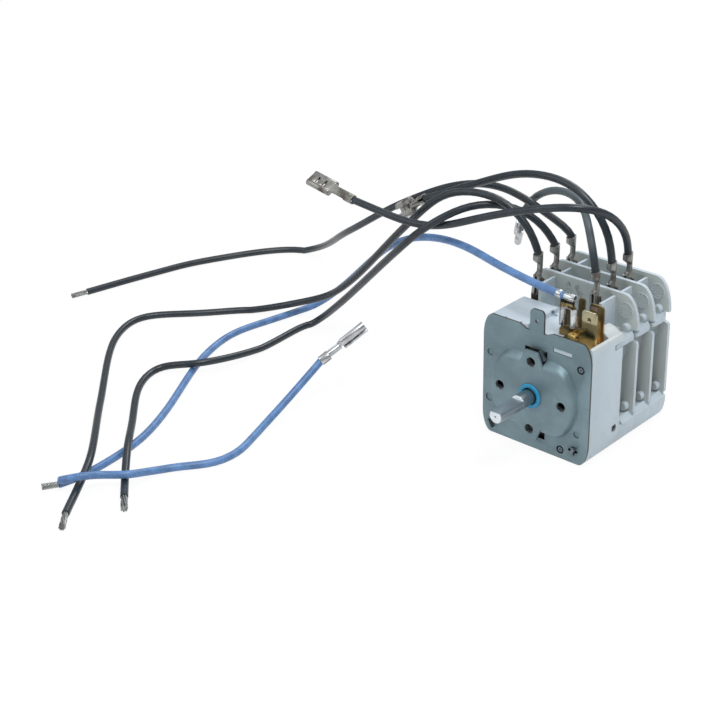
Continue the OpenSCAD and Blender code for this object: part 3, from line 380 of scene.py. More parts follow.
def module_plastic():
    """The modules' plastic, with painted shade that makes its front faces darker and greener and the hollow
    between its ribs darker, a painted patch of light on the first wall's front, and pencil-like scuffs on
    that wall
    """
    f = Finish("module_plastic")
    base = colours().housing
    upper_front_shade = (0.385, 0.425, 0.40)
    lower_front_shade = (0.245, 0.265, 0.25)
    recess_shade_tone = (0.135, 0.145, 0.14)
    dusty = (0.30, 0.30, 0.27)
    wall_light_tone = (0.50, 0.54, 0.54)
    smudged = (0.14, 0.15, 0.155)
    scuffed = (0.09, 0.095, 0.10)
    flow = f.noise(55.0, 3.0)
    dust = f.noise(300.0, 5.0, shift=2.0)
    front = (f.facing_y() * -1.0).step(0.5, 0.95)
    f.colour = f.blend(shade(base, 0.93), shade(base, 1.04), flow.step(0.3, 0.7))
    # painted shade: front faces darker and greener, darkest towards the bottom
    front_shade = f.blend(upper_front_shade, lower_front_shade, f.z.step(0.020, -0.010))
    f.paint(front_shade, front * 0.88)
    # painted shade in the hollow between the ribs
    between_ribs = f.x.step(0.0222, 0.0205) * f.x.step(0.006, 0.010)
    recess_shade = between_ribs * f.z.step(0.0225, 0.0205) * f.y.step(0.026, 0.029)
    f.paint(recess_shade_tone, recess_shade * (1.0 - front * 0.7) * 0.55)
    f.paint(dusty, dust.step(0.55, 0.8) * 0.25)
    # painted light on the front of the first wall, where light falls through the gap
    wall_light_mask = front * f.x.step(-0.004, 0.006) * f.z.step(0.0335, 0.031)
    f.paint(wall_light_tone, wall_light_mask * 0.45)
    on_wall = f.y.step(0.0318, 0.0322) * f.y.step(0.0337, 0.0333)
    for centre, radius, strength in SMUDGES:
        f.paint(smudged, f.spot(centre, radius) * strength)
    for start, end, width, strength in SCUFFS:
        f.paint(scuffed, f.stroke(start, end, width) * on_wall * strength)
    rough = 0.45 + dust * 0.15
    return f.surface(rough, height=dust * 0.5 + flow * 0.5, depth=0.05 * MM, specular=0.4)


def brass_sheet(f, stain_colour, stain_share, roughness, metallic):
    """Clouds and finger stains over a finish's brass; stain_share says how much they cover"""
    cloud = f.noise(130.0, 4.0)
    stain = f.noise(220.0, 5.0, shift=6.0).step(0.62 - stain_share * 0.3, 0.8 - stain_share * 0.2)
    roll = f.noise(1200.0, 2.0, stretch=(0.08, 1.0, 1.0))
    f.paint(stain_colour, cloud.step(0.75, 0.35) * 0.25)
    f.paint(stain_colour, stain * (0.3 + stain_share * 0.5))
    return f.surface(roughness + stain * 0.2 + cloud * 0.06, metallic, height=roll, depth=0.02 * MM)


def bright_brass():
    """Front terminals: olive middle, pale worn tip, golden low down as painted reflection of the floor,
    painted shade behind and under the flag receptacle, and a painted highlight on the clip
    """
    f = Finish("bright_brass")
    olive = (0.13, 0.115, 0.06)
    worn = (0.46, 0.43, 0.29)
    dark_brown = (0.20, 0.125, 0.045)
    shaded = (0.045, 0.036, 0.02)
    clip_highlight = (0.95, 0.68, 0.24)
    finger_stain = (0.17, 0.12, 0.06)
    # golden and duller metal low down: painted reflection of the floor
    foot = f.z.step(0.0280, 0.0254)
    tip = f.z.step(0.0322, 0.0334)
    in_front = f.y.step(0.0081, 0.0079)
    under_flag_shade = f.x.step(0.0145, 0.0135) * (1.0 - in_front)
    f.colour = f.blend(olive, tuple(colours().brass), foot)
    f.paint(worn, tip)
    # painted shade behind and under the flag receptacle, darkest higher up
    f.paint(dark_brown, under_flag_shade * 0.85)
    f.paint(shaded, under_flag_shade * f.z.step(0.0288, 0.0296))
    # painted highlight on the clip and the bracket's front, with duller metal there
    f.paint(clip_highlight, in_front)
    return brass_sheet(f, finger_stain, 0.3, 0.2, 0.92 - foot.most(in_front) * 0.35)


def tarnished_brass():
    """Browned rear terminals, still golden low down and pale where a push-on fitting rubbed"""
    f = Finish("tarnished_brass")
    dark_brown = (0.20, 0.155, 0.075)
    warm_brown = (0.42, 0.255, 0.09)
    gold = (0.92, 0.68, 0.27)
    pink_rub = (0.60, 0.42, 0.28)
    dark_stain = (0.10, 0.06, 0.03)
    f.colour = f.blend(dark_brown, warm_brown, f.z.step(0.0325, 0.0295))
    inner = f.x.step(0.0203, 0.0192) * f.x.step(0.0140, 0.0148) * f.z.step(0.0318, 0.0300)
    f.paint(gold, inner)
    rubbed = f.x.step(0.0182, 0.0178) * f.x.step(0.0150, 0.0153)
    rubbed = rubbed * f.z.step(0.0342, 0.0346) * f.z.step(0.0362, 0.0358)
    f.paint(pink_rub, rubbed)
    return brass_sheet(f, dark_stain, 0.5, 0.3, 0.9 - inner * 0.35)


def tin_plating(f, base, dark, share):
    """Paints cloudy tin with brown patches, and returns its roughness and pressed bumps"""
    cloud = f.noise(350.0, 3.0)
    brown = f.noise(180.0, 4.0, shift=9.0).step(0.62 - share * 0.25, 0.78 - share * 0.15)
    press = f.noise(1500.0, 2.0, stretch=(1.0, 1.0, 0.3), shift=2.0)
    f.colour = f.blend(shade(base, 0.8), shade(base, 1.15), cloud.step(0.25, 0.75))
    f.paint(dark, brown * 0.75)
    return 0.27 + cloud * 0.12 + brown * 0.25, press


def tinned(name, base, dark, share):
    """Tin plating, dull where the crimp tool pressed it and browned in places"""
    f = Finish(name)
    rough, press = tin_plating(f, base, dark, share)
    return f.surface(rough, 0.9, height=press, depth=0.04 * MM)


def flag_crimp():
    """The flag receptacle's bright tin, with painted dark reflections in lines, a brass neck, a painted
    shadow on the neck under the barrel and painted shade in its bore
    """
    f = Finish("flag_crimp")
    dark_reflection_tone = (0.13, 0.14, 0.14)
    neck_brass = (0.30, 0.235, 0.11)
    shade_and_grime = (0.018, 0.018, 0.016)
    bore_shade = (0.05, 0.035, 0.035)
    rough, press = tin_plating(f, (0.62, 0.65, 0.67), (0.10, 0.09, 0.08), 0.25)
    # painted dark reflections: lines down the rolled edges and along the barrel
    reflection_streaks = f.noise(1700.0, 1.0, stretch=(1.0, 1.0, 0.03), shift=4.0).step(0.55, 0.68)
    reflection_streaks = reflection_streaks * f.z.step(0.0366, 0.0360)
    barrel_reflections = f.noise(1500.0, 1.0, stretch=(0.03, 1.0, 1.0), shift=4.0).step(0.55, 0.68)
    barrel_reflections = barrel_reflections * f.z.step(0.0387, 0.0389)
    f.paint(dark_reflection_tone, reflection_streaks.most(barrel_reflections) * 0.7)
    neck = f.z.step(0.0362, 0.0364) * f.z.step(0.0391, 0.0389)
    f.paint(neck_brass, neck)
    # painted shadow on the lower neck, under the barrel
    f.paint(shade_and_grime, neck * f.z.step(0.0377, 0.0379))
    # painted shade inside the barrel's bore
    f.paint(bore_shade, f.spot((0.0124, 0.0086, 0.0404), 0.0010))
    return f.surface(rough - 0.09, 0.92, height=press, depth=0.04 * MM)


def turned_steel():
    """Shaft steel, with a ground flat, a painted glint on its milled step and a painted highlight over the
    turning swirls of its faced end
    """
    f = Finish("turned_steel")
    dark_side = (0.18, 0.225, 0.255)
    light_side = (0.30, 0.36, 0.40)
    ground = (0.26, 0.32, 0.36)
    bright = (0.88, 0.93, 0.97)
    ring = f.noise(1600.0, 2.0, stretch=(0.05, 1.0, 0.05))
    cloud = f.noise(150.0, 3.0)
    swirl = f.noise(900.0, 3.0, shift=5.0)
    flat = f.z.step(0.00145, 0.00155) * f.z.step(0.00175, 0.00165)
    f.colour = f.blend(dark_side, light_side, ring * 0.5 + cloud * 0.5)
    f.paint(ground, flat)
    # painted glint on the milled step and painted highlight on the faced end, less metallic there
    milled = f.y.step(-0.0078, -0.0075) * f.y.step(-0.0071, -0.0074) * f.z.step(0.0014, 0.0018)
    faced = f.y.step(-0.0206, -0.0209)
    pale = milled.most(faced * (0.55 + swirl * 0.4))
    f.paint(bright, pale)
    return f.surface(0.34 + cloud * 0.12, 0.85 - pale * 0.7, height=ring, depth=0.008 * MM)


def dull_steel():
    """Inner steel, darker and cloudy"""
    f = Finish("dull_steel")
    cloud = f.noise(150.0, 3.0)
    f.colour = f.blend((0.10, 0.125, 0.14), (0.26, 0.30, 0.33), cloud)
    return f.surface(0.3 + cloud * 0.15, 0.85, height=cloud, depth=0.02 * MM)


def insulation(name, base, scuff_colour, scuff_share, roughness, faded=None):
    """Soft PVC with handling scuffs and a faint extrusion waviness, faded in its high loop if asked"""
    f = Finish(name)
    wave = f.noise(260.0, 2.0)
    scuff = f.noise(700.0, 4.0, shift=8.0).step(0.62, 0.78)
    patch = f.noise(60.0, 2.0, shift=4.0).step(0.5, 0.7)
    f.colour = f.blend(shade(base, 0.85), shade(base, 1.2), wave.step(0.3, 0.7))
    if faded:
        f.paint(faded, f.z.step(0.046, 0.060))
    f.paint(scuff_colour, (scuff * 0.6 + patch * 0.4) * scuff_share)
    return f.surface(roughness + scuff * 0.18, height=wave, depth=0.06 * MM)


def plain_finish(name, base, roughness, metallic, spot):
    """Finish of the inner pieces, cloudy with a few darker spots"""
    f = Finish(name)
    cloud = f.noise(180.0, 4.0)
    spots = f.noise(600.0, 4.0, shift=3.0).step(0.6, 0.75)
    f.colour = f.blend(shade(base, 0.86), shade(base, 1.12), cloud.step(0.3, 0.7))
    f.paint(spot, spots * 0.3)
    return f.surface(roughness + cloud * 0.12, metallic, height=cloud, depth=0.02 * MM)


# Finishes with a look of their own
OWN_LOOKS = {
    "zinc_plate": zinc_plate,
    "clock_plastic": clock_plastic,
    "module_plastic": module_plastic,
    "bright_brass": bright_brass,
    "tarnished_brass": tarnished_brass,
    "flag_crimp": flag_crimp,
    "turned_steel": turned_steel,
    "dull_steel": dull_steel,
}
# Tin plated pieces, as colour, colour of the brown patches and how far those spread
TIN_LOOKS = {
    "oxidised_terminal": ((0.12, 0.10, 0.085), (0.03, 0.022, 0.016), 0.8),
    "tinned_crimp": ((0.30, 0.30, 0.28), (0.09, 0.065, 0.05), 0.6),
    "bright_crimp": ((0.52, 0.54, 0.56), (0.10, 0.09, 0.08), 0.25),
    "bare_strands": ((0.33, 0.35, 0.34), (0.12, 0.11, 0.10), 0.5),
}
# Insulation, as the property that holds its colour, scuffs' colour and share, roughness and faded colour
WIRE_LOOKS = {
    "faded_insulation": ("black_wire", (0.18, 0.21, 0.23), 0.35, 0.42, (0.08, 0.105, 0.12)),
    "black_insulation": ("black_wire", (0.09, 0.11, 0.125), 0.3, 0.36, None),
    "blue_insulation": ("blue_wire", (0.15, 0.24, 0.4), 0.2, 0.42, None),
}
# Plainer pieces, as colour, roughness, metallic share and colour of the spots
PLAIN_LOOKS = {
    "clock_brass": ((0.56, 0.42, 0.17), 0.28, 0.95, (0.2, 0.13, 0.06)),
    # the front movement plate, dark as painted shade seen through the slot
    "clock_plate": ((0.05, 0.05, 0.045), 0.4, 0.7, (0.03, 0.03, 0.03)),
    "spring_steel": ((0.12, 0.16, 0.26), 0.25, 0.95, (0.06, 0.06, 0.08)),
    "cam_plastic": ((0.62, 0.60, 0.50), 0.45, 0.0, (0.4, 0.38, 0.3)),
    "brown_follower": ((0.17, 0.075, 0.035), 0.4, 0.0, (0.1, 0.04, 0.02)),
    "contact_bronze": ((0.5, 0.27, 0.13), 0.25, 0.95, (0.2, 0.1, 0.05)),
    "thread_steel": ((0.17, 0.195, 0.205), 0.18, 0.95, (0.05, 0.05, 0.05)),
    "rivet_steel": ((0.14, 0.18, 0.20), 0.35, 0.8, (0.04, 0.04, 0.04)),
}
MATERIALS = {}


def make_look(name):
    """Makes a named finish from the tables"""
    if name in OWN_LOOKS:
        return OWN_LOOKS[name]()
    if name in TIN_LOOKS:
        return tinned(name, *TIN_LOOKS[name])
    if name in WIRE_LOOKS:
        colour, *rest = WIRE_LOOKS[name]
        return insulation(name, tuple(getattr(colours(), colour)), *rest)
    if name == "bushing_plastic":
        return plain_finish(name, tuple(colours().bushing), 0.38, 0.0, (0.02, 0.15, 0.3))
    return plain_finish(name, *PLAIN_LOOKS[name])


def look(name):
    """A named finish, made once"""
    if name not in MATERIALS:
        MATERIALS[name] = make_look(name)
    return MATERIALS[name]


# Mesh helpers


def cad_node(name):
    """The solid model's object for a node, or an error that names the missing one"""
    if name not in NODES:
        raise RuntimeError(f"the solid model has no node called {name}")
    return NODES[name]


def dress(nodes, finish):
    """Gives CAD nodes whose shape is right their finish"""
    for name in nodes:
        slots = cad_node(name).data.materials
        slots.clear()
        slots.append(look(finish))


def new_piece(name, data, finish, node=None, body=BODY):
    """A piece with its finish and slot, which rides on a body and may stand in for a CAD node"""
    piece = bpy.data.objects.new(name, data)
    bpy.context.scene.collection.objects.link(piece)
    data.materials.clear()
    data.materials.append(look(finish))
    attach(piece, body)
    if node:
        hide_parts(node)
    return piece


def freeze(holder, name):
    """Turns an evaluated object into a plain mesh and removes the object that held its modifiers"""
    bpy.context.view_layer.update()
    evaluated = holder.evaluated_get(bpy.context.evaluated_depsgraph_get())
    mesh = bpy.data.meshes.new_from_object(evaluated)
    mesh.name = name
    bpy.data.objects.remove(holder)
    if not mesh.polygons:
        raise RuntimeError(f"{name} came out without faces")
    return mesh


# Facets that meet at less than the first angle become one face; edges sharper than the second are rounded
FLAT_ANGLE = math.radians(2.0)
EDGE_ANGLE = math.radians(32.0)


def softened(name, node, edge, finish, angle=EDGE_ANGLE, body=BODY, change=None):
    """A copy of a CAD node with merged facets, rounded edges and any change of shape, in its place"""
    mesh = cad_node(node).data.copy()
    shell = bmesh.new()
    shell.from_mesh(mesh)
    bmesh.ops.remove_doubles(shell, verts=shell.verts, dist=1e-6)
    bmesh.ops.dissolve_limit(shell, angle_limit=FLAT_ANGLE, verts=shell.verts, edges=shell.edges)
    if change:
        change(shell)
    for face in shell.faces:
        face.smooth = True
    shell.to_mesh(mesh)
    shell.free()
    holder = bpy.data.objects.new(name + "_holder", mesh)
    bpy.context.scene.collection.objects.link(holder)
    bevel = holder.modifiers.new("edges", "BEVEL")
    bevel.width = edge
    bevel.segments = 2
    bevel.limit_method = "ANGLE"
    bevel.angle_limit = angle
    bevel.use_clamp_overlap = True
    bevel.harden_normals = True
    return new_piece(name, freeze(holder, name), finish, node, body)


def metres(points):
    """Points that are given in millimetres"""
    return [Vector(point) * MM for point in points]


# Wires, repeated from the solid model's routes in millimetres


TERMINAL_LEFT = -18.0
TERMINAL_RIGHT = 8.0
CRIMP_LOW = 41.5
CRIMP_TOP = 45.1
# Depth of the first module's terminals, and from one module to the next
FIRST_TERMINAL = 27.7
MODULE_PITCH = 10.7


def plug_start(side, row):
    """The two points inside and just above a module receptacle's insulation crimp"""
    across = TERMINAL_LEFT if side < 0 else TERMINAL_RIGHT
    depth = FIRST_TERMINAL + MODULE_PITCH * (row - 1)
    return [(across, depth, CRIMP_LOW), (across, depth, CRIMP_TOP)]


ROUTES = {
    "wire_b": plug_start(-1, 1) + [
        (-23, 27.5, 54), (-32, 26.5, 61), (-45, 25, 62.5), (-58.5, 23, 59.5), (-75.5, 22, 44),
        (-117, 30, 2.5), (-135, 33.5, -11), (-146, 30.5, -15.5), (-165.5, 22, -22), (-182.5, 3, -22),
        (-200.5, -16.5, -22), (-195, -34.5, -22), (-154, -79, -22), (-112.5, -120, -18),
        (-107.5, -130, -22), (-98, -143, -22)],
    "wire_c": plug_start(-1, 2) + [
        (-22, 36.5, 51), (-28.5, 32.5, 57), (-38.5, 28, 58.5), (-46, 21, 58), (-59.5, 10.5, 48.5),
        (-73, 10, 35.5), (-118, 24, -6), (-137, 28.5, -22), (-137, -4.5, -22), (-142, -37.5, -18),
        (-158.5, -44, -22), (-153.5, -58, -22), (-127, -86, -20.5), (-110, -103, -17.5),
        (-101.5, -112, -22), (-90.5, -122, -22)],
    "wire_a": plug_start(-1, 3) + [
        (-25.5, 48.5, 48.5), (-38, 48.5, 53), (-50, 48.5, 55.5), (-62.5, 48.5, 54.5), (-78, 48.5, 49.5),
        (-105, 49, 35), (-139.5, 55, 12), (-195, 83.5, -22), (-223.5, 44.5, -22), (-232, 17.5, -22),
        (-239.5, -14, -22)],
    "wire_f": plug_start(1, 1) + [
        (5.5, 28.5, 53), (-1, 34, 60), (-11.5, 44, 62.5), (-22, 47, 62.5), (-34, 51, 57), (-43, 54, 50),
        (-46.5, 56, 43)],
    "wire_e": plug_start(1, 2) + [
        (7, 38.5, 53.5), (0.5, 38, 62.5), (-10, 38.5, 69), (-25, 40, 69.5), (-40, 41.5, 66),
        (-57.5, 42, 58), (-84.5, 41, 45)],
    "wire_d_loose": plug_start(1, 3) + [
        (9.5, 46, 51.5), (9, 35, 63.5), (5, 23, 69), (-3.5, 20, 68), (-21, 19, 62.5), (-38, 17, 56),
        (-56.5, 16, 48), (-70, 15.5, 46), (-99, 14, 49)],
    "blue_wire_1": [
        (8, 8.6, 40.4), (3.2, 8.6, 40.4), (-24.5, 12, 42), (-42.5, 17, 42.5), (-62, 23, 39.5),
        (-81, 28, 33), (-96, 32, 24), (-146, 53.5, -18), (-148.5, 43, -22), (-153.5, 17.5, -22),
        (-157, -1, -22), (-151, -24.5, -22), (-125.5, -71.5, -22), (-117, -92.5, -22), (-113.8, -125, -22),
        (-115.8, -131.5, -22)],
    "blue_wire_2": [
        (-113.5, -132.5, -19), (-105.5, -128.5, -16), (-105, -119, -19.5), (-97, -116, -18),
        (-95, -100.5, -22), (-83, -83.5, -22), (-82, -73, -22), (-88.5, -52, -21.5), (-89.5, -36.5, -16),
        (-89, -18.5, -7)],
}


# Passes that round a wire's bends; two wires have fewer, for the sharper bends of the photograph
SOFTENING = 8
SHARPER = {"wire_a": 3, "blue_wire_2": 2}
# Distance between the points of a wire's curve
CLOSENESS = 3.0 * MM


def smooth_route(points, passes):
    """Points along a smooth curve through a route's points"""
    padded = [points[0] * 2 - points[1]] + points + [points[-1] * 2 - points[-2]]
    line = []
    for before, start, end, after in zip(padded, padded[1:], padded[2:], padded[3:]):
        knots = [0.0]
        for first, second in ((before, start), (start, end), (end, after)):
            knots.append(knots[-1] + max(1e-6, (second - first).length) ** 0.5)
        pieces = max(2, int((end - start).length / CLOSENESS))
        for i in range(pieces):
            t = knots[1] + (knots[2] - knots[1]) * i / pieces
            a1 = before.lerp(start, (t - knots[0]) / (knots[1] - knots[0]))
            a2 = start.lerp(end, (t - knots[1]) / (knots[2] - knots[1]))
            a3 = end.lerp(after, (t - knots[2]) / (knots[3] - knots[2]))
            b1 = a1.lerp(a2, (t - knots[0]) / (knots[2] - knots[0]))
            b2 = a2.lerp(a3, (t - knots[1]) / (knots[3] - knots[1]))
            line.append(b1.lerp(b2, (t - knots[1]) / (knots[2] - knots[1])))
    line.append(points[-1])
    for _ in range(passes):
        line[2:-1] = [(a + b * 2 + c) / 4 for a, b, c in zip(line[1:], line[2:], line[3:])]
    lowest = FLOOR_Z + sizes().wire_diameter / 2
    for point in line:
        point.z = max(point.z, lowest)
    return line


def wire_piece(node, finish):
    """One insulated wire as a curve along its route, with its points and its length"""
    cad_node(node)
    line = smooth_route(metres(ROUTES[node]), SHARPER.get(node, SOFTENING))
    data = bpy.data.curves.new(node + "_insulation", "CURVE")
    data.dimensions = "3D"
    data.bevel_depth = sizes().wire_diameter / 2
    data.bevel_resolution = 5
    data.use_fill_caps = True
    spline = data.splines.new("POLY")
    spline.points.add(len(line) - 1)
    for target, point in zip(spline.points, line):
        target.co = (*point, 1.0)
    spline.use_smooth = True
    piece = new_piece(node + "_insulation", data, finish, node)
    length = sum((b - a).length for a, b in zip(line, line[1:]))
    return piece, line, length


class WM_OT_timer_switch_wires(bpy.types.Operator):
    """Makes the six dark wires and the two blue ones"""

    bl_idname = "wm.timer_switch_wires"
    bl_label = "Wires"

    def execute(self, context):
        for node in ROUTES:
            blue = node.startswith("blue")
            slot = "blue_insulation" if blue else "black_insulation"
            finish = "faded_insulation" if node == "wire_f" else slot
            piece, line, length = wire_piece(node, finish)
        return {"FINISHED"}


# Crimped fittings and bare ends


# Levels of a module receptacle's crimps: height, half width, half depth, shift in X and Y, depth of the seam
CRIMP_LEVELS = (
    (34.2, 1.50, 0.90, 0.00, 0.00, 0.00),
    (35.0, 1.40, 0.88, 0.10, 0.25, 0.05),
    (35.9, 1.18, 0.92, 0.33, 0.75, 0.16),
    (37.4, 1.10, 0.97, 0.38, 0.86, 0.22),
    (39.0, 1.16, 0.97, 0.38, 0.86, 0.18),
    (39.8, 1.52, 1.36, 0.20, 0.45, 0.10),
    (40.7, 1.93, 1.93, 0.00, 0.00, 0.05),
    (43.4, 1.95, 1.95, 0.00, 0.00, 0.05),
)
CRIMP_STEPS = 3
CRIMP_SIDES = 40
SEAM_ANGLE = math.radians(-118.0)
SEAM_WIDTH = 0.2
# The lip leans: the side that stands highest, how far, and the heights between which the lean grows
LIP_ANGLE = math.radians(45.0)
LIP_LEAN = 0.45
LIP_FROM = 42.2
LIP_RISE = 1.2
# The bore inside the lip, as depth below it and radius
LIP_BORE = ((0.0, 1.54), (0.9, 1.52))
# Height at which the solid's own crimp is cut off, inside the neck of the new one
CRIMP_CUT = 34.9


def crimp_rings():
    """Rings of a crimp from its neck to its lip, then back down inside the lip, round the wire's axis"""
    levels = []
    for low, high in zip(CRIMP_LEVELS, CRIMP_LEVELS[1:]):
        for step in range(CRIMP_STEPS):
            t = step / CRIMP_STEPS
            eased = t * t * (3 - 2 * t)
            levels.append([a + (b - a) * (eased if i else t) for i, (a, b) in enumerate(zip(low, high))])
    levels.append(CRIMP_LEVELS[-1])
    top = CRIMP_LEVELS[-1][0]
    levels += [(top - down, radius, radius, 0, 0, 0) for down, radius in LIP_BORE]
    rings = []
    for height, wide, deep, right, back, seam in levels:
        ring = []
        for i in range(CRIMP_SIDES):
            turn = math.tau * i / CRIMP_SIDES
            off = math.remainder(turn - SEAM_ANGLE, math.tau)
            pull = 1 - seam * math.exp(-((off / SEAM_WIDTH) ** 2))
            share = max(0.0, min(1.0, (height - LIP_FROM) / LIP_RISE))
            lean = LIP_LEAN * math.cos(turn - LIP_ANGLE) * share
            x = right + wide * pull * math.cos(turn)
            y = back + deep * pull * math.sin(turn)
            ring.append((x, y, height + lean))
        rings.append(ring)
    return rings


def pressed_crimp(side, row):
    """The change that gives a module receptacle its seamed barrel and slanted crimp above the neck"""
    across, depth, _ = plug_start(side, row)[0]

    def change(shell):
        cut = bmesh.ops.bisect_plane(
            shell, geom=shell.verts[:] + shell.edges[:] + shell.faces[:], dist=1e-7,
            plane_co=(0, 0, CRIMP_CUT * MM), plane_no=(0, 0, 1), clear_outer=True)
        rim = [item for item in cut["geom_cut"] if isinstance(item, bmesh.types.BMEdge)]
        bmesh.ops.holes_fill(shell, edges=rim)
        rows = []
        for ring in crimp_rings():
            rows.append([shell.verts.new(Vector((across + x, depth + y, z)) * MM) for x, y, z in ring])
        shell.faces.new(list(reversed(rows[0])))
        shell.faces.new(rows[-1])
        for low, high in zip(rows, rows[1:]):
            for i in range(CRIMP_SIDES):
                j = (i + 1) % CRIMP_SIDES
                shell.faces.new((low[i], low[j], high[j], high[i]))
    return change


# Where the flag receptacle's parts lie along the wire in the solid, and where they show
FLAG_X = ((3.4, 4.7), (6.8, 7.05), (8.2, 8.15), (13.7, 12.8))
# Axis of its barrel in Y and Z
FLAG_AXIS = (8.6, 40.4)
# Start of the barrel in X, between the two crimps
BARREL_X = 8.1


def between(pairs, value):
    """The second value at a given first one, on straight lines through the given pairs"""
    for (a, left), (b, right) in zip(pairs, pairs[1:]):
        if value <= b or b == pairs[-1][0]:
            return left + (right - left) * (value - a) / (b - a)


def slim_flag(shell):
    """Slimmer crimps on the flag receptacle, and lower rolled edges that leave the blade's top in view"""
    for vert in shell.verts:
        x, y, z = (part / MM for part in vert.co)
        off_y, off_z = y - FLAG_AXIS[0], z - FLAG_AXIS[1]
        out = math.hypot(off_y, off_z)
        # The strap under both crimps
        if x < 9.2 and z < 38.9 and abs(abs(off_y) - 0.9) < 0.03:
            z += 0.45
            y = FLAG_AXIS[0] + off_y * 0.5
        # The top of the rolled edges, and the neck that stands on them
        elif x > 6.55 and 37.8 < z < 38.65:
            if abs(abs(off_y) - 0.7) < 0.03 and 8.3 < x < 13.1:
                x = 10.6 + (x - 10.7) * 0.5
                y += 0.35
            z = 35.7 + (z - 37.8) * 0.75
        # The two crimps
        elif z > 38.3:
            slim = 1.0
            if x < BARREL_X and out > 1.6:
                slim = (out - 0.22) / out
            elif x >= BARREL_X and 1.3 < out < 1.75:
                slim = 0.8
            x = between(FLAG_X, x)
            y = FLAG_AXIS[0] + off_y * slim
            z = FLAG_AXIS[1] + off_z * slim
        vert.co = Vector((x, y, z)) * MM


class WM_OT_timer_switch_fittings(bpy.types.Operator):
    """Rounds the edges of every push-on receptacle and gives it its tin plating"""

    bl_idname = "wm.timer_switch_fittings"
    bl_label = "Receptacles"

    def execute(self, context):
        edge = sizes().sheet_edge
        for side in ("left", "right"):
            for row in (1, 2, 3):
                name = f"plug_{side}_{row}"
                crimp = pressed_crimp(-1 if side == "left" else 1, row)
                softened(name + "_metal", name, edge, "tinned_crimp", change=crimp)
        softened(
            "flag_receptacle_metal", "flag_receptacle", edge, "flag_crimp", change=slim_flag)
        for name in ("receptacle_d", "receptacle_e", "receptacle_f", "receptacle_blue"):
            finish = "bright_crimp" if name in ("receptacle_f", "receptacle_blue") else "tinned_crimp"
            softened(name + "_metal", name, edge, finish)
        return {"FINISHED"}


# Inputs of the node group: strands, circle at the start and at the end, length, turns, thickness and finish
TWIST_INPUTS = (
    ("Strands", "NodeSocketInt"),
    ("Radius", "NodeSocketFloat"),
    ("Flare", "NodeSocketFloat"),
    ("Length", "NodeSocketFloat"),
    ("Turns", "NodeSocketFloat"),
    ("Thickness", "NodeSocketFloat"),
    ("Material", "NodeSocketMaterial"),
)


def twisted_tree(name):
    """Strands that wind round an axis, as one spiral tube at equal angles, and its inputs' identifiers"""
    tree = bpy.data.node_groups.new(name, "GeometryNodeTree")
    keys = []
    for key, kind in TWIST_INPUTS:
        keys.append(tree.interface.new_socket(key, in_out="INPUT", socket_type=kind).identifier)
    tree.interface.new_socket("Geometry", in_out="OUTPUT", socket_type="NodeSocketGeometry")
    g = Graph(tree)
    given = g.node("NodeGroupInput").outputs
    spiral = g.node("GeometryNodeCurveSpiral", {}, {
        "Resolution": 24,
        "Rotations": given["Turns"],
        "Start Radius": given["Radius"],
        "End Radius": given["Flare"],
        "Height": given["Length"],
    })
    profile = g.node("GeometryNodeCurvePrimitiveCircle", {}, {
        "Resolution": 10,
        "Radius": given["Thickness"],
    })
    tube = g.node("GeometryNodeCurveToMesh", {}, {
        "Curve": spiral.outputs[0],
        "Profile Curve": profile.outputs[0],
        "Fill Caps": True,
    })
    points = g.node("GeometryNodePoints", {}, {"Count": given["Strands"]})
    index = g.node("GeometryNodeInputIndex")
    share = g.node("ShaderNodeMath", {"operation": "DIVIDE"}, {0: index.outputs[0], 1: given["Strands"]})
    turn = g.node("ShaderNodeMath", {"operation": "MULTIPLY"}, {0: share.outputs[0], 1: math.tau})
    angle = g.node("ShaderNodeCombineXYZ", {}, {"Z": turn.outputs[0]})
    put = g.node("GeometryNodeInstanceOnPoints", {}, {
        "Points": points.outputs[0],
        "Instance": tube.outputs[0],
        "Rotation": angle.outputs[0],
    })
    real = g.node("GeometryNodeRealizeInstances", {}, {0: put.outputs[0]})
    smooth = g.node("GeometryNodeSetShadeSmooth", {}, {0: real.outputs[0]})
    paint = g.node("GeometryNodeSetMaterial", {}, {
        "Geometry": smooth.outputs[0],
        "Material": given["Material"],
    })
    g.node("NodeGroupOutput", {}, {0: paint.outputs[0]})
    return tree, keys


def grown(name, twist, values):
    """Runs a node group with the values of its inputs and returns its result as a plain mesh"""
    tree, keys = twist
    holder = bpy.data.objects.new(name + "_holder", bpy.data.meshes.new(name + "_seed"))
    bpy.context.scene.collection.objects.link(holder)
    modifier = holder.modifiers.new("grow", "NODES")
    modifier.node_group = tree
    for key, value in zip(keys, values):
        modifier[key] = value
    return freeze(holder, name)


def joined(name, meshes):
    """One mesh out of several"""
    shell = bmesh.new()
    for mesh in meshes:
        shell.from_mesh(mesh)
    whole = bpy.data.meshes.new(name)
    shell.to_mesh(whole)
    shell.free()
    return whole


def along(start, end):
    """The transform that stands +Z on the way from start to end"""
    direction = (end - start).normalized()
    return Matrix.Translation(start) @ direction.to_track_quat("Z", "Y").to_matrix().to_4x4()


# Bare ends, as the wire, where its strands end, their circle at the insulation and at the cut, and turns
BARE_ENDS = {
    "stripped_end_a": ("wire_a", (-241.5, -21.5, -22), 0.72, 0.78, 0.5),
    "stripped_end_b": ("wire_b", (-91.7, -149.9, -22), 0.78, 0.92, 0.35),
    "stripped_end_c": ("wire_c", (-84.3, -127.4, -22), 0.92, 1.05, 0.15),
    "stripped_end_blue": ("blue_wire_1", (-119.2, -136.8, -22), 0.80, 0.88, 0.7),
}


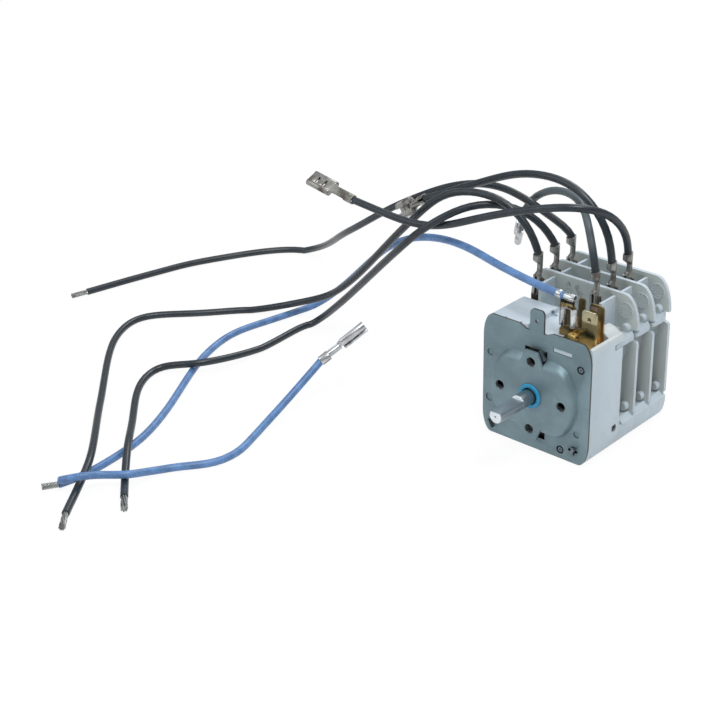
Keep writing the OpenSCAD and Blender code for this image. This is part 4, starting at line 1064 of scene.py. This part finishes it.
class WM_OT_timer_switch_bare_ends(bpy.types.Operator):
    """Twists the bare strands at the cut ends of the wires"""

    bl_idname = "wm.timer_switch_bare_ends"
    bl_label = "Bare ends"

    def execute(self, context):
        twist = twisted_tree("twisted_strands")
        tin = look("bare_strands")
        for node, (wire, end, wide, flare, turns) in BARE_ENDS.items():
            root, tip = metres([ROUTES[wire][-1], end])
            reach = (tip - root).length - 0.1 * MM
            half = sizes().strand_diameter / 2
            around = (sizes().strands, wide * MM, flare * MM, reach, turns, half, tin)
            core = (1, 0.0, 0.0, reach - 0.15 * MM, turns, wide * MM - half * 0.6, tin)
            layers = [grown(node + "_layer", twist, layer) for layer in (around, core)]
            mesh = joined(node + "_metal", layers)
            mesh.transform(along(root, tip))
            new_piece(node + "_metal", mesh, "bare_strands", node)
        return {"FINISHED"}


# Front plate, bushing and shaft


# Fixing holes: a radius just outside the solid's hole wall, the opened radius and the depth of that wall
TAP_WALL = 1.8 * MM
TAP_RADIUS = 1.95 * MM
TAP_DEPTH = 3.9 * MM
# Their thread: where it starts, how deep it goes, its middle radius and its half thickness
THREAD_START = 0.1 * MM
THREAD_DEPTH = 2.8 * MM
THREAD_RADIUS = 1.86 * MM
THREAD_THICKNESS = 0.17 * MM
# The bushing: a radius just outside its bore's wall, and the flared radius at its front
BORE_WALL = 2.9 * MM
BORE_FLARE = 3.42 * MM


def widened_taps(shell):
    """Opens the four tapped holes to their thread's outer diameter"""
    for number in range(HOLES):
        centre = hole_centre(number, 0.0)
        for vert in shell.verts:
            away = Vector((vert.co.x, 0, vert.co.z)) - centre
            if away.length < TAP_WALL and vert.co.y < TAP_DEPTH:
                wide = away.normalized() * TAP_RADIUS
                vert.co.x = centre.x + wide.x
                vert.co.z = centre.z + wide.z


def opened_bore(shell):
    """Flares the bushing's bore at its front, which leaves a dark ring round the shaft"""
    for vert in shell.verts:
        out = math.hypot(vert.co.x, vert.co.z)
        if out < BORE_WALL and vert.co.y < 0:
            vert.co.x *= BORE_FLARE / out
            vert.co.z *= BORE_FLARE / out


class WM_OT_timer_switch_plate(bpy.types.Operator):
    """Rounds the pressed plate's edges, threads its four holes and dresses bushing and rivets"""

    bl_idname = "wm.timer_switch_plate"
    bl_label = "Front plate"

    def execute(self, context):
        softened(
            "pressed_plate", "front_plate", sizes().sheet_edge, "zinc_plate",
            angle=math.radians(28.0), change=widened_taps)
        softened(
            "blue_bushing", "shaft_bushing", 0.1 * MM, "bushing_plastic", change=opened_bore)
        dress(["housing_rivets"], "rivet_steel")
        dress(["movement_plate"], "dull_steel")
        twist = twisted_tree("hole_thread")
        turns = THREAD_DEPTH / sizes().thread_pitch
        steel = look("thread_steel")
        thread = (1, THREAD_RADIUS, THREAD_RADIUS, THREAD_DEPTH, turns, THREAD_THICKNESS, steel)
        parts = []
        for number in range(HOLES):
            mesh = grown("thread_turn", twist, thread)
            centre = hole_centre(number, THREAD_START)
            mesh.transform(along(centre, centre + Vector((0, 1, 0))))
            parts.append(mesh)
        mesh = joined("hole_threads", parts)
        new_piece("hole_threads", mesh, "thread_steel")
        return {"FINISHED"}


class WM_OT_timer_switch_shaft(bpy.types.Operator):
    """Gives the control shaft its turned finish"""

    bl_idname = "wm.timer_switch_shaft"
    bl_label = "Control shaft"

    def execute(self, context):
        softened("turned_shaft", "control_shaft", 0.07 * MM, "turned_steel", body="shaft_set")
        return {"FINISHED"}


# Housings and terminals


class WM_OT_timer_switch_housings(bpy.types.Operator):
    """Rounds the moulded housings' edges"""

    bl_idname = "wm.timer_switch_housings"
    bl_label = "Housings"

    def execute(self, context):
        edge = sizes().moulded_edge
        softened("clock_case", "clock_housing", edge, "clock_plastic")
        for row in (1, 2, 3):
            softened(f"module_case_{row}", f"module_housing_{row}", edge, "module_plastic")
        return {"FINISHED"}


class WM_OT_timer_switch_terminals(bpy.types.Operator):
    """Dresses the brass terminals in the pocket and the dark ones of the modules"""

    bl_idname = "wm.timer_switch_terminals"
    bl_label = "Terminals"

    def execute(self, context):
        edge = sizes().sheet_edge
        softened("neutral_brass", "neutral_bracket", edge, "bright_brass")
        softened("rear_brass", "rear_brass_terminal", edge, "tarnished_brass")
        softened("clip_brass", "spring_clip", edge * 0.6, "bright_brass")
        for row in (1, 2, 3):
            for side in ("left", "right"):
                node = f"{side}_terminal_{row}"
                softened(node + "_metal", node, edge, "oxidised_terminal")
        return {"FINISHED"}


class WM_OT_timer_switch_clockwork(bpy.types.Operator):
    """Dresses the inner clockwork, cams, followers and contacts"""

    bl_idname = "wm.timer_switch_clockwork"
    bl_label = "Clockwork"

    def execute(self, context):
        dress(["front_movement_plate"], "clock_plate")
        dress(["great_wheel", "second_wheel", "third_wheel", "escape_wheel", "balance_wheel"], "clock_brass")
        dress(["pallet_lever"], "dull_steel")
        dress(["mainspring", "balance_spring"], "spring_steel")
        dress(["cam_1", "cam_2", "cam_3"], "cam_plastic")
        dress(["follower_1", "follower_2", "follower_3"], "brown_follower")
        dress(["contact_spring_1", "contact_spring_2", "contact_spring_3"], "contact_bronze")
        return {"FINISHED"}


# Stage


# Camera fitted to the photograph: its place, the directions to its right and to its back, lens and sensor
CAMERA_PLACE = (0.3273, -0.4517, 0.2980)
CAMERA_RIGHT = (0.7455, 0.6662, -0.0204)
CAMERA_BACK = (0.6010, -0.6587, 0.4527)
CAMERA_LENS = 84.75
SENSOR_WIDTH = 36.0
# Lamps that aim at the origin, as name, place, width, power and colour
LAMPS = (
    ("key_lamp", (0.25, -0.15, 0.86), 0.40, 4.6, (1.0, 0.99, 0.97)),
    ("fill_lamp", (-0.60, -0.75, 0.55), 0.7, 2.2, (0.95, 0.98, 1.0)),
    ("back_lamp", (-0.25, 0.75, 0.8), 0.5, 3.6, (1.0, 1.0, 1.0)),
)
# Sky: its colour, its strength from the horizon down, and near its top
SKY_COLOUR = (0.97, 0.985, 1.0, 1.0)
SKY_LOW = 0.2
SKY_HIGH = 0.78
SKY_TOP = 0.9
FLOOR_HALF = 4.0


def soft_lamp(name, place, width, power, colour):
    """A wide lamp that aims at the origin"""
    data = bpy.data.lights.new(name, "AREA")
    data.shape = "RECTANGLE"
    data.size = width
    data.size_y = width * 0.8
    data.energy = power
    data.color = colour
    lamp = bpy.data.objects.new(name, data)
    bpy.context.scene.collection.objects.link(lamp)
    lamp.location = place
    lamp.rotation_euler = (-Vector(place)).to_track_quat("-Z", "Y").to_euler()


def pale_floor():
    """White floor that shows white to the camera and keeps a soft shadow"""
    f = Finish("pale_floor")
    rays = f.node("ShaderNodeLightPath").outputs
    seen = Value(f, rays["Is Camera Ray"]).most(Value(f, rays["Is Glossy Ray"]))
    seen = seen.most(Value(f, rays["Is Transmission Ray"]))
    matt = f.node("ShaderNodeBsdfDiffuse", {}, {"Color": (0.9, 0.9, 0.9)})
    glow = f.node("ShaderNodeEmission", {}, {"Color": (1.0, 1.0, 1.0), "Strength": 1.0})
    both = f.node("ShaderNodeMixShader", {}, {0: seen * 0.93, 1: matt.outputs[0], 2: glow.outputs[0]})
    f.node("ShaderNodeOutputMaterial", {}, {0: both.outputs[0]})
    return f.material


def photo_camera(scene):
    """The camera that took the photograph"""
    camera = bpy.data.objects.new("photo_camera", bpy.data.cameras.new("photo_camera"))
    scene.collection.objects.link(camera)
    back = Vector(CAMERA_BACK).normalized()
    up = back.cross(Vector(CAMERA_RIGHT).normalized()).normalized()
    turn = Matrix((up.cross(back), up, back)).transposed().to_4x4()
    camera.matrix_world = Matrix.Translation(CAMERA_PLACE) @ turn
    camera.data.sensor_width = SENSOR_WIDTH
    camera.data.lens = CAMERA_LENS
    camera.data.clip_start = 0.01
    scene.camera = camera


def studio_sky():
    """A pale sky, brighter overhead, that shows white behind the floor"""
    world = bpy.data.worlds.new("studio_sky")
    world.use_nodes = True
    g = Graph(world.node_tree)
    rays = g.node("ShaderNodeLightPath").outputs
    seen = g.node("ShaderNodeMath", {"operation": "MAXIMUM"}, {
        0: rays["Is Camera Ray"],
        1: rays["Is Transmission Ray"],
    })
    direction = g.node("ShaderNodeTexCoord").outputs["Generated"]
    split = g.node("ShaderNodeSeparateXYZ", {}, {0: direction})
    lift = g.node("ShaderNodeMapRange", {}, {
        "Value": split.outputs["Z"],
        "From Max": SKY_TOP,
        "To Min": SKY_LOW,
        "To Max": SKY_HIGH,
    })
    strength = g.node("ShaderNodeMix", {}, {0: seen.outputs[0], 2: lift.outputs[0], 3: 1.0})
    sky = g.node("ShaderNodeBackground", {}, {0: SKY_COLOUR, 1: strength.outputs[0]})
    g.node("ShaderNodeOutputWorld", {}, {0: sky.outputs[0]})
    return world


class WM_OT_timer_switch_stage(bpy.types.Operator):
    """Sets the camera, the floor, the lamps and the sky"""

    bl_idname = "wm.timer_switch_stage"
    bl_label = "Stage"

    def execute(self, context):
        scene = context.scene
        scene.view_settings.view_transform = "Standard"
        photo_camera(scene)
        mesh = bpy.data.meshes.new("pale_floor")
        corners = ((-1, -1), (1, -1), (1, 1), (-1, 1))
        mesh.from_pydata([(x * FLOOR_HALF, y * FLOOR_HALF, FLOOR_Z) for x, y in corners], [], [(0, 1, 2, 3)])
        mesh.materials.append(pale_floor())
        floor = bpy.data.objects.new("pale_floor", mesh)
        scene.collection.objects.link(floor)
        for lamp in LAMPS:
            soft_lamp(*lamp)
        scene.world = studio_sky()
        return {"FINISHED"}


STEPS = (
    WM_OT_timer_switch_stage,
    WM_OT_timer_switch_wires,
    WM_OT_timer_switch_fittings,
    WM_OT_timer_switch_bare_ends,
    WM_OT_timer_switch_plate,
    WM_OT_timer_switch_shaft,
    WM_OT_timer_switch_housings,
    WM_OT_timer_switch_terminals,
    WM_OT_timer_switch_clockwork,
)


class VIEW3D_PT_timer_switch(bpy.types.Panel):
    """Lists the steps that build the switch"""

    bl_label = "Timer Switch"
    bl_space_type = "VIEW_3D"
    bl_region_type = "UI"
    bl_category = "Timer Switch"

    def draw(self, context):
        column = self.layout.column()
        for group in (context.scene.timer_switch_sizes, context.scene.timer_switch_colours):
            for key in group.__annotations__:
                column.prop(group, key)
        for step in STEPS:
            column.operator(step.bl_idname)


CLASSES = (TimerSwitchSizes, TimerSwitchColours) + STEPS + (VIEW3D_PT_timer_switch,)


def register():
    for cls in CLASSES:
        bpy.utils.register_class(cls)
    bpy.types.Scene.timer_switch_sizes = bpy.props.PointerProperty(type=TimerSwitchSizes)
    bpy.types.Scene.timer_switch_colours = bpy.props.PointerProperty(type=TimerSwitchColours)


def unregister():
    del bpy.types.Scene.timer_switch_colours
    del bpy.types.Scene.timer_switch_sizes
    for cls in reversed(CLASSES):
        bpy.utils.unregister_class(cls)


def main():
    register()
    for step in STEPS:
        getattr(bpy.ops.wm, step.bl_idname.split(".")[1])()
    bpy.context.view_layer.update()


if __name__ == "__main__":
    main()
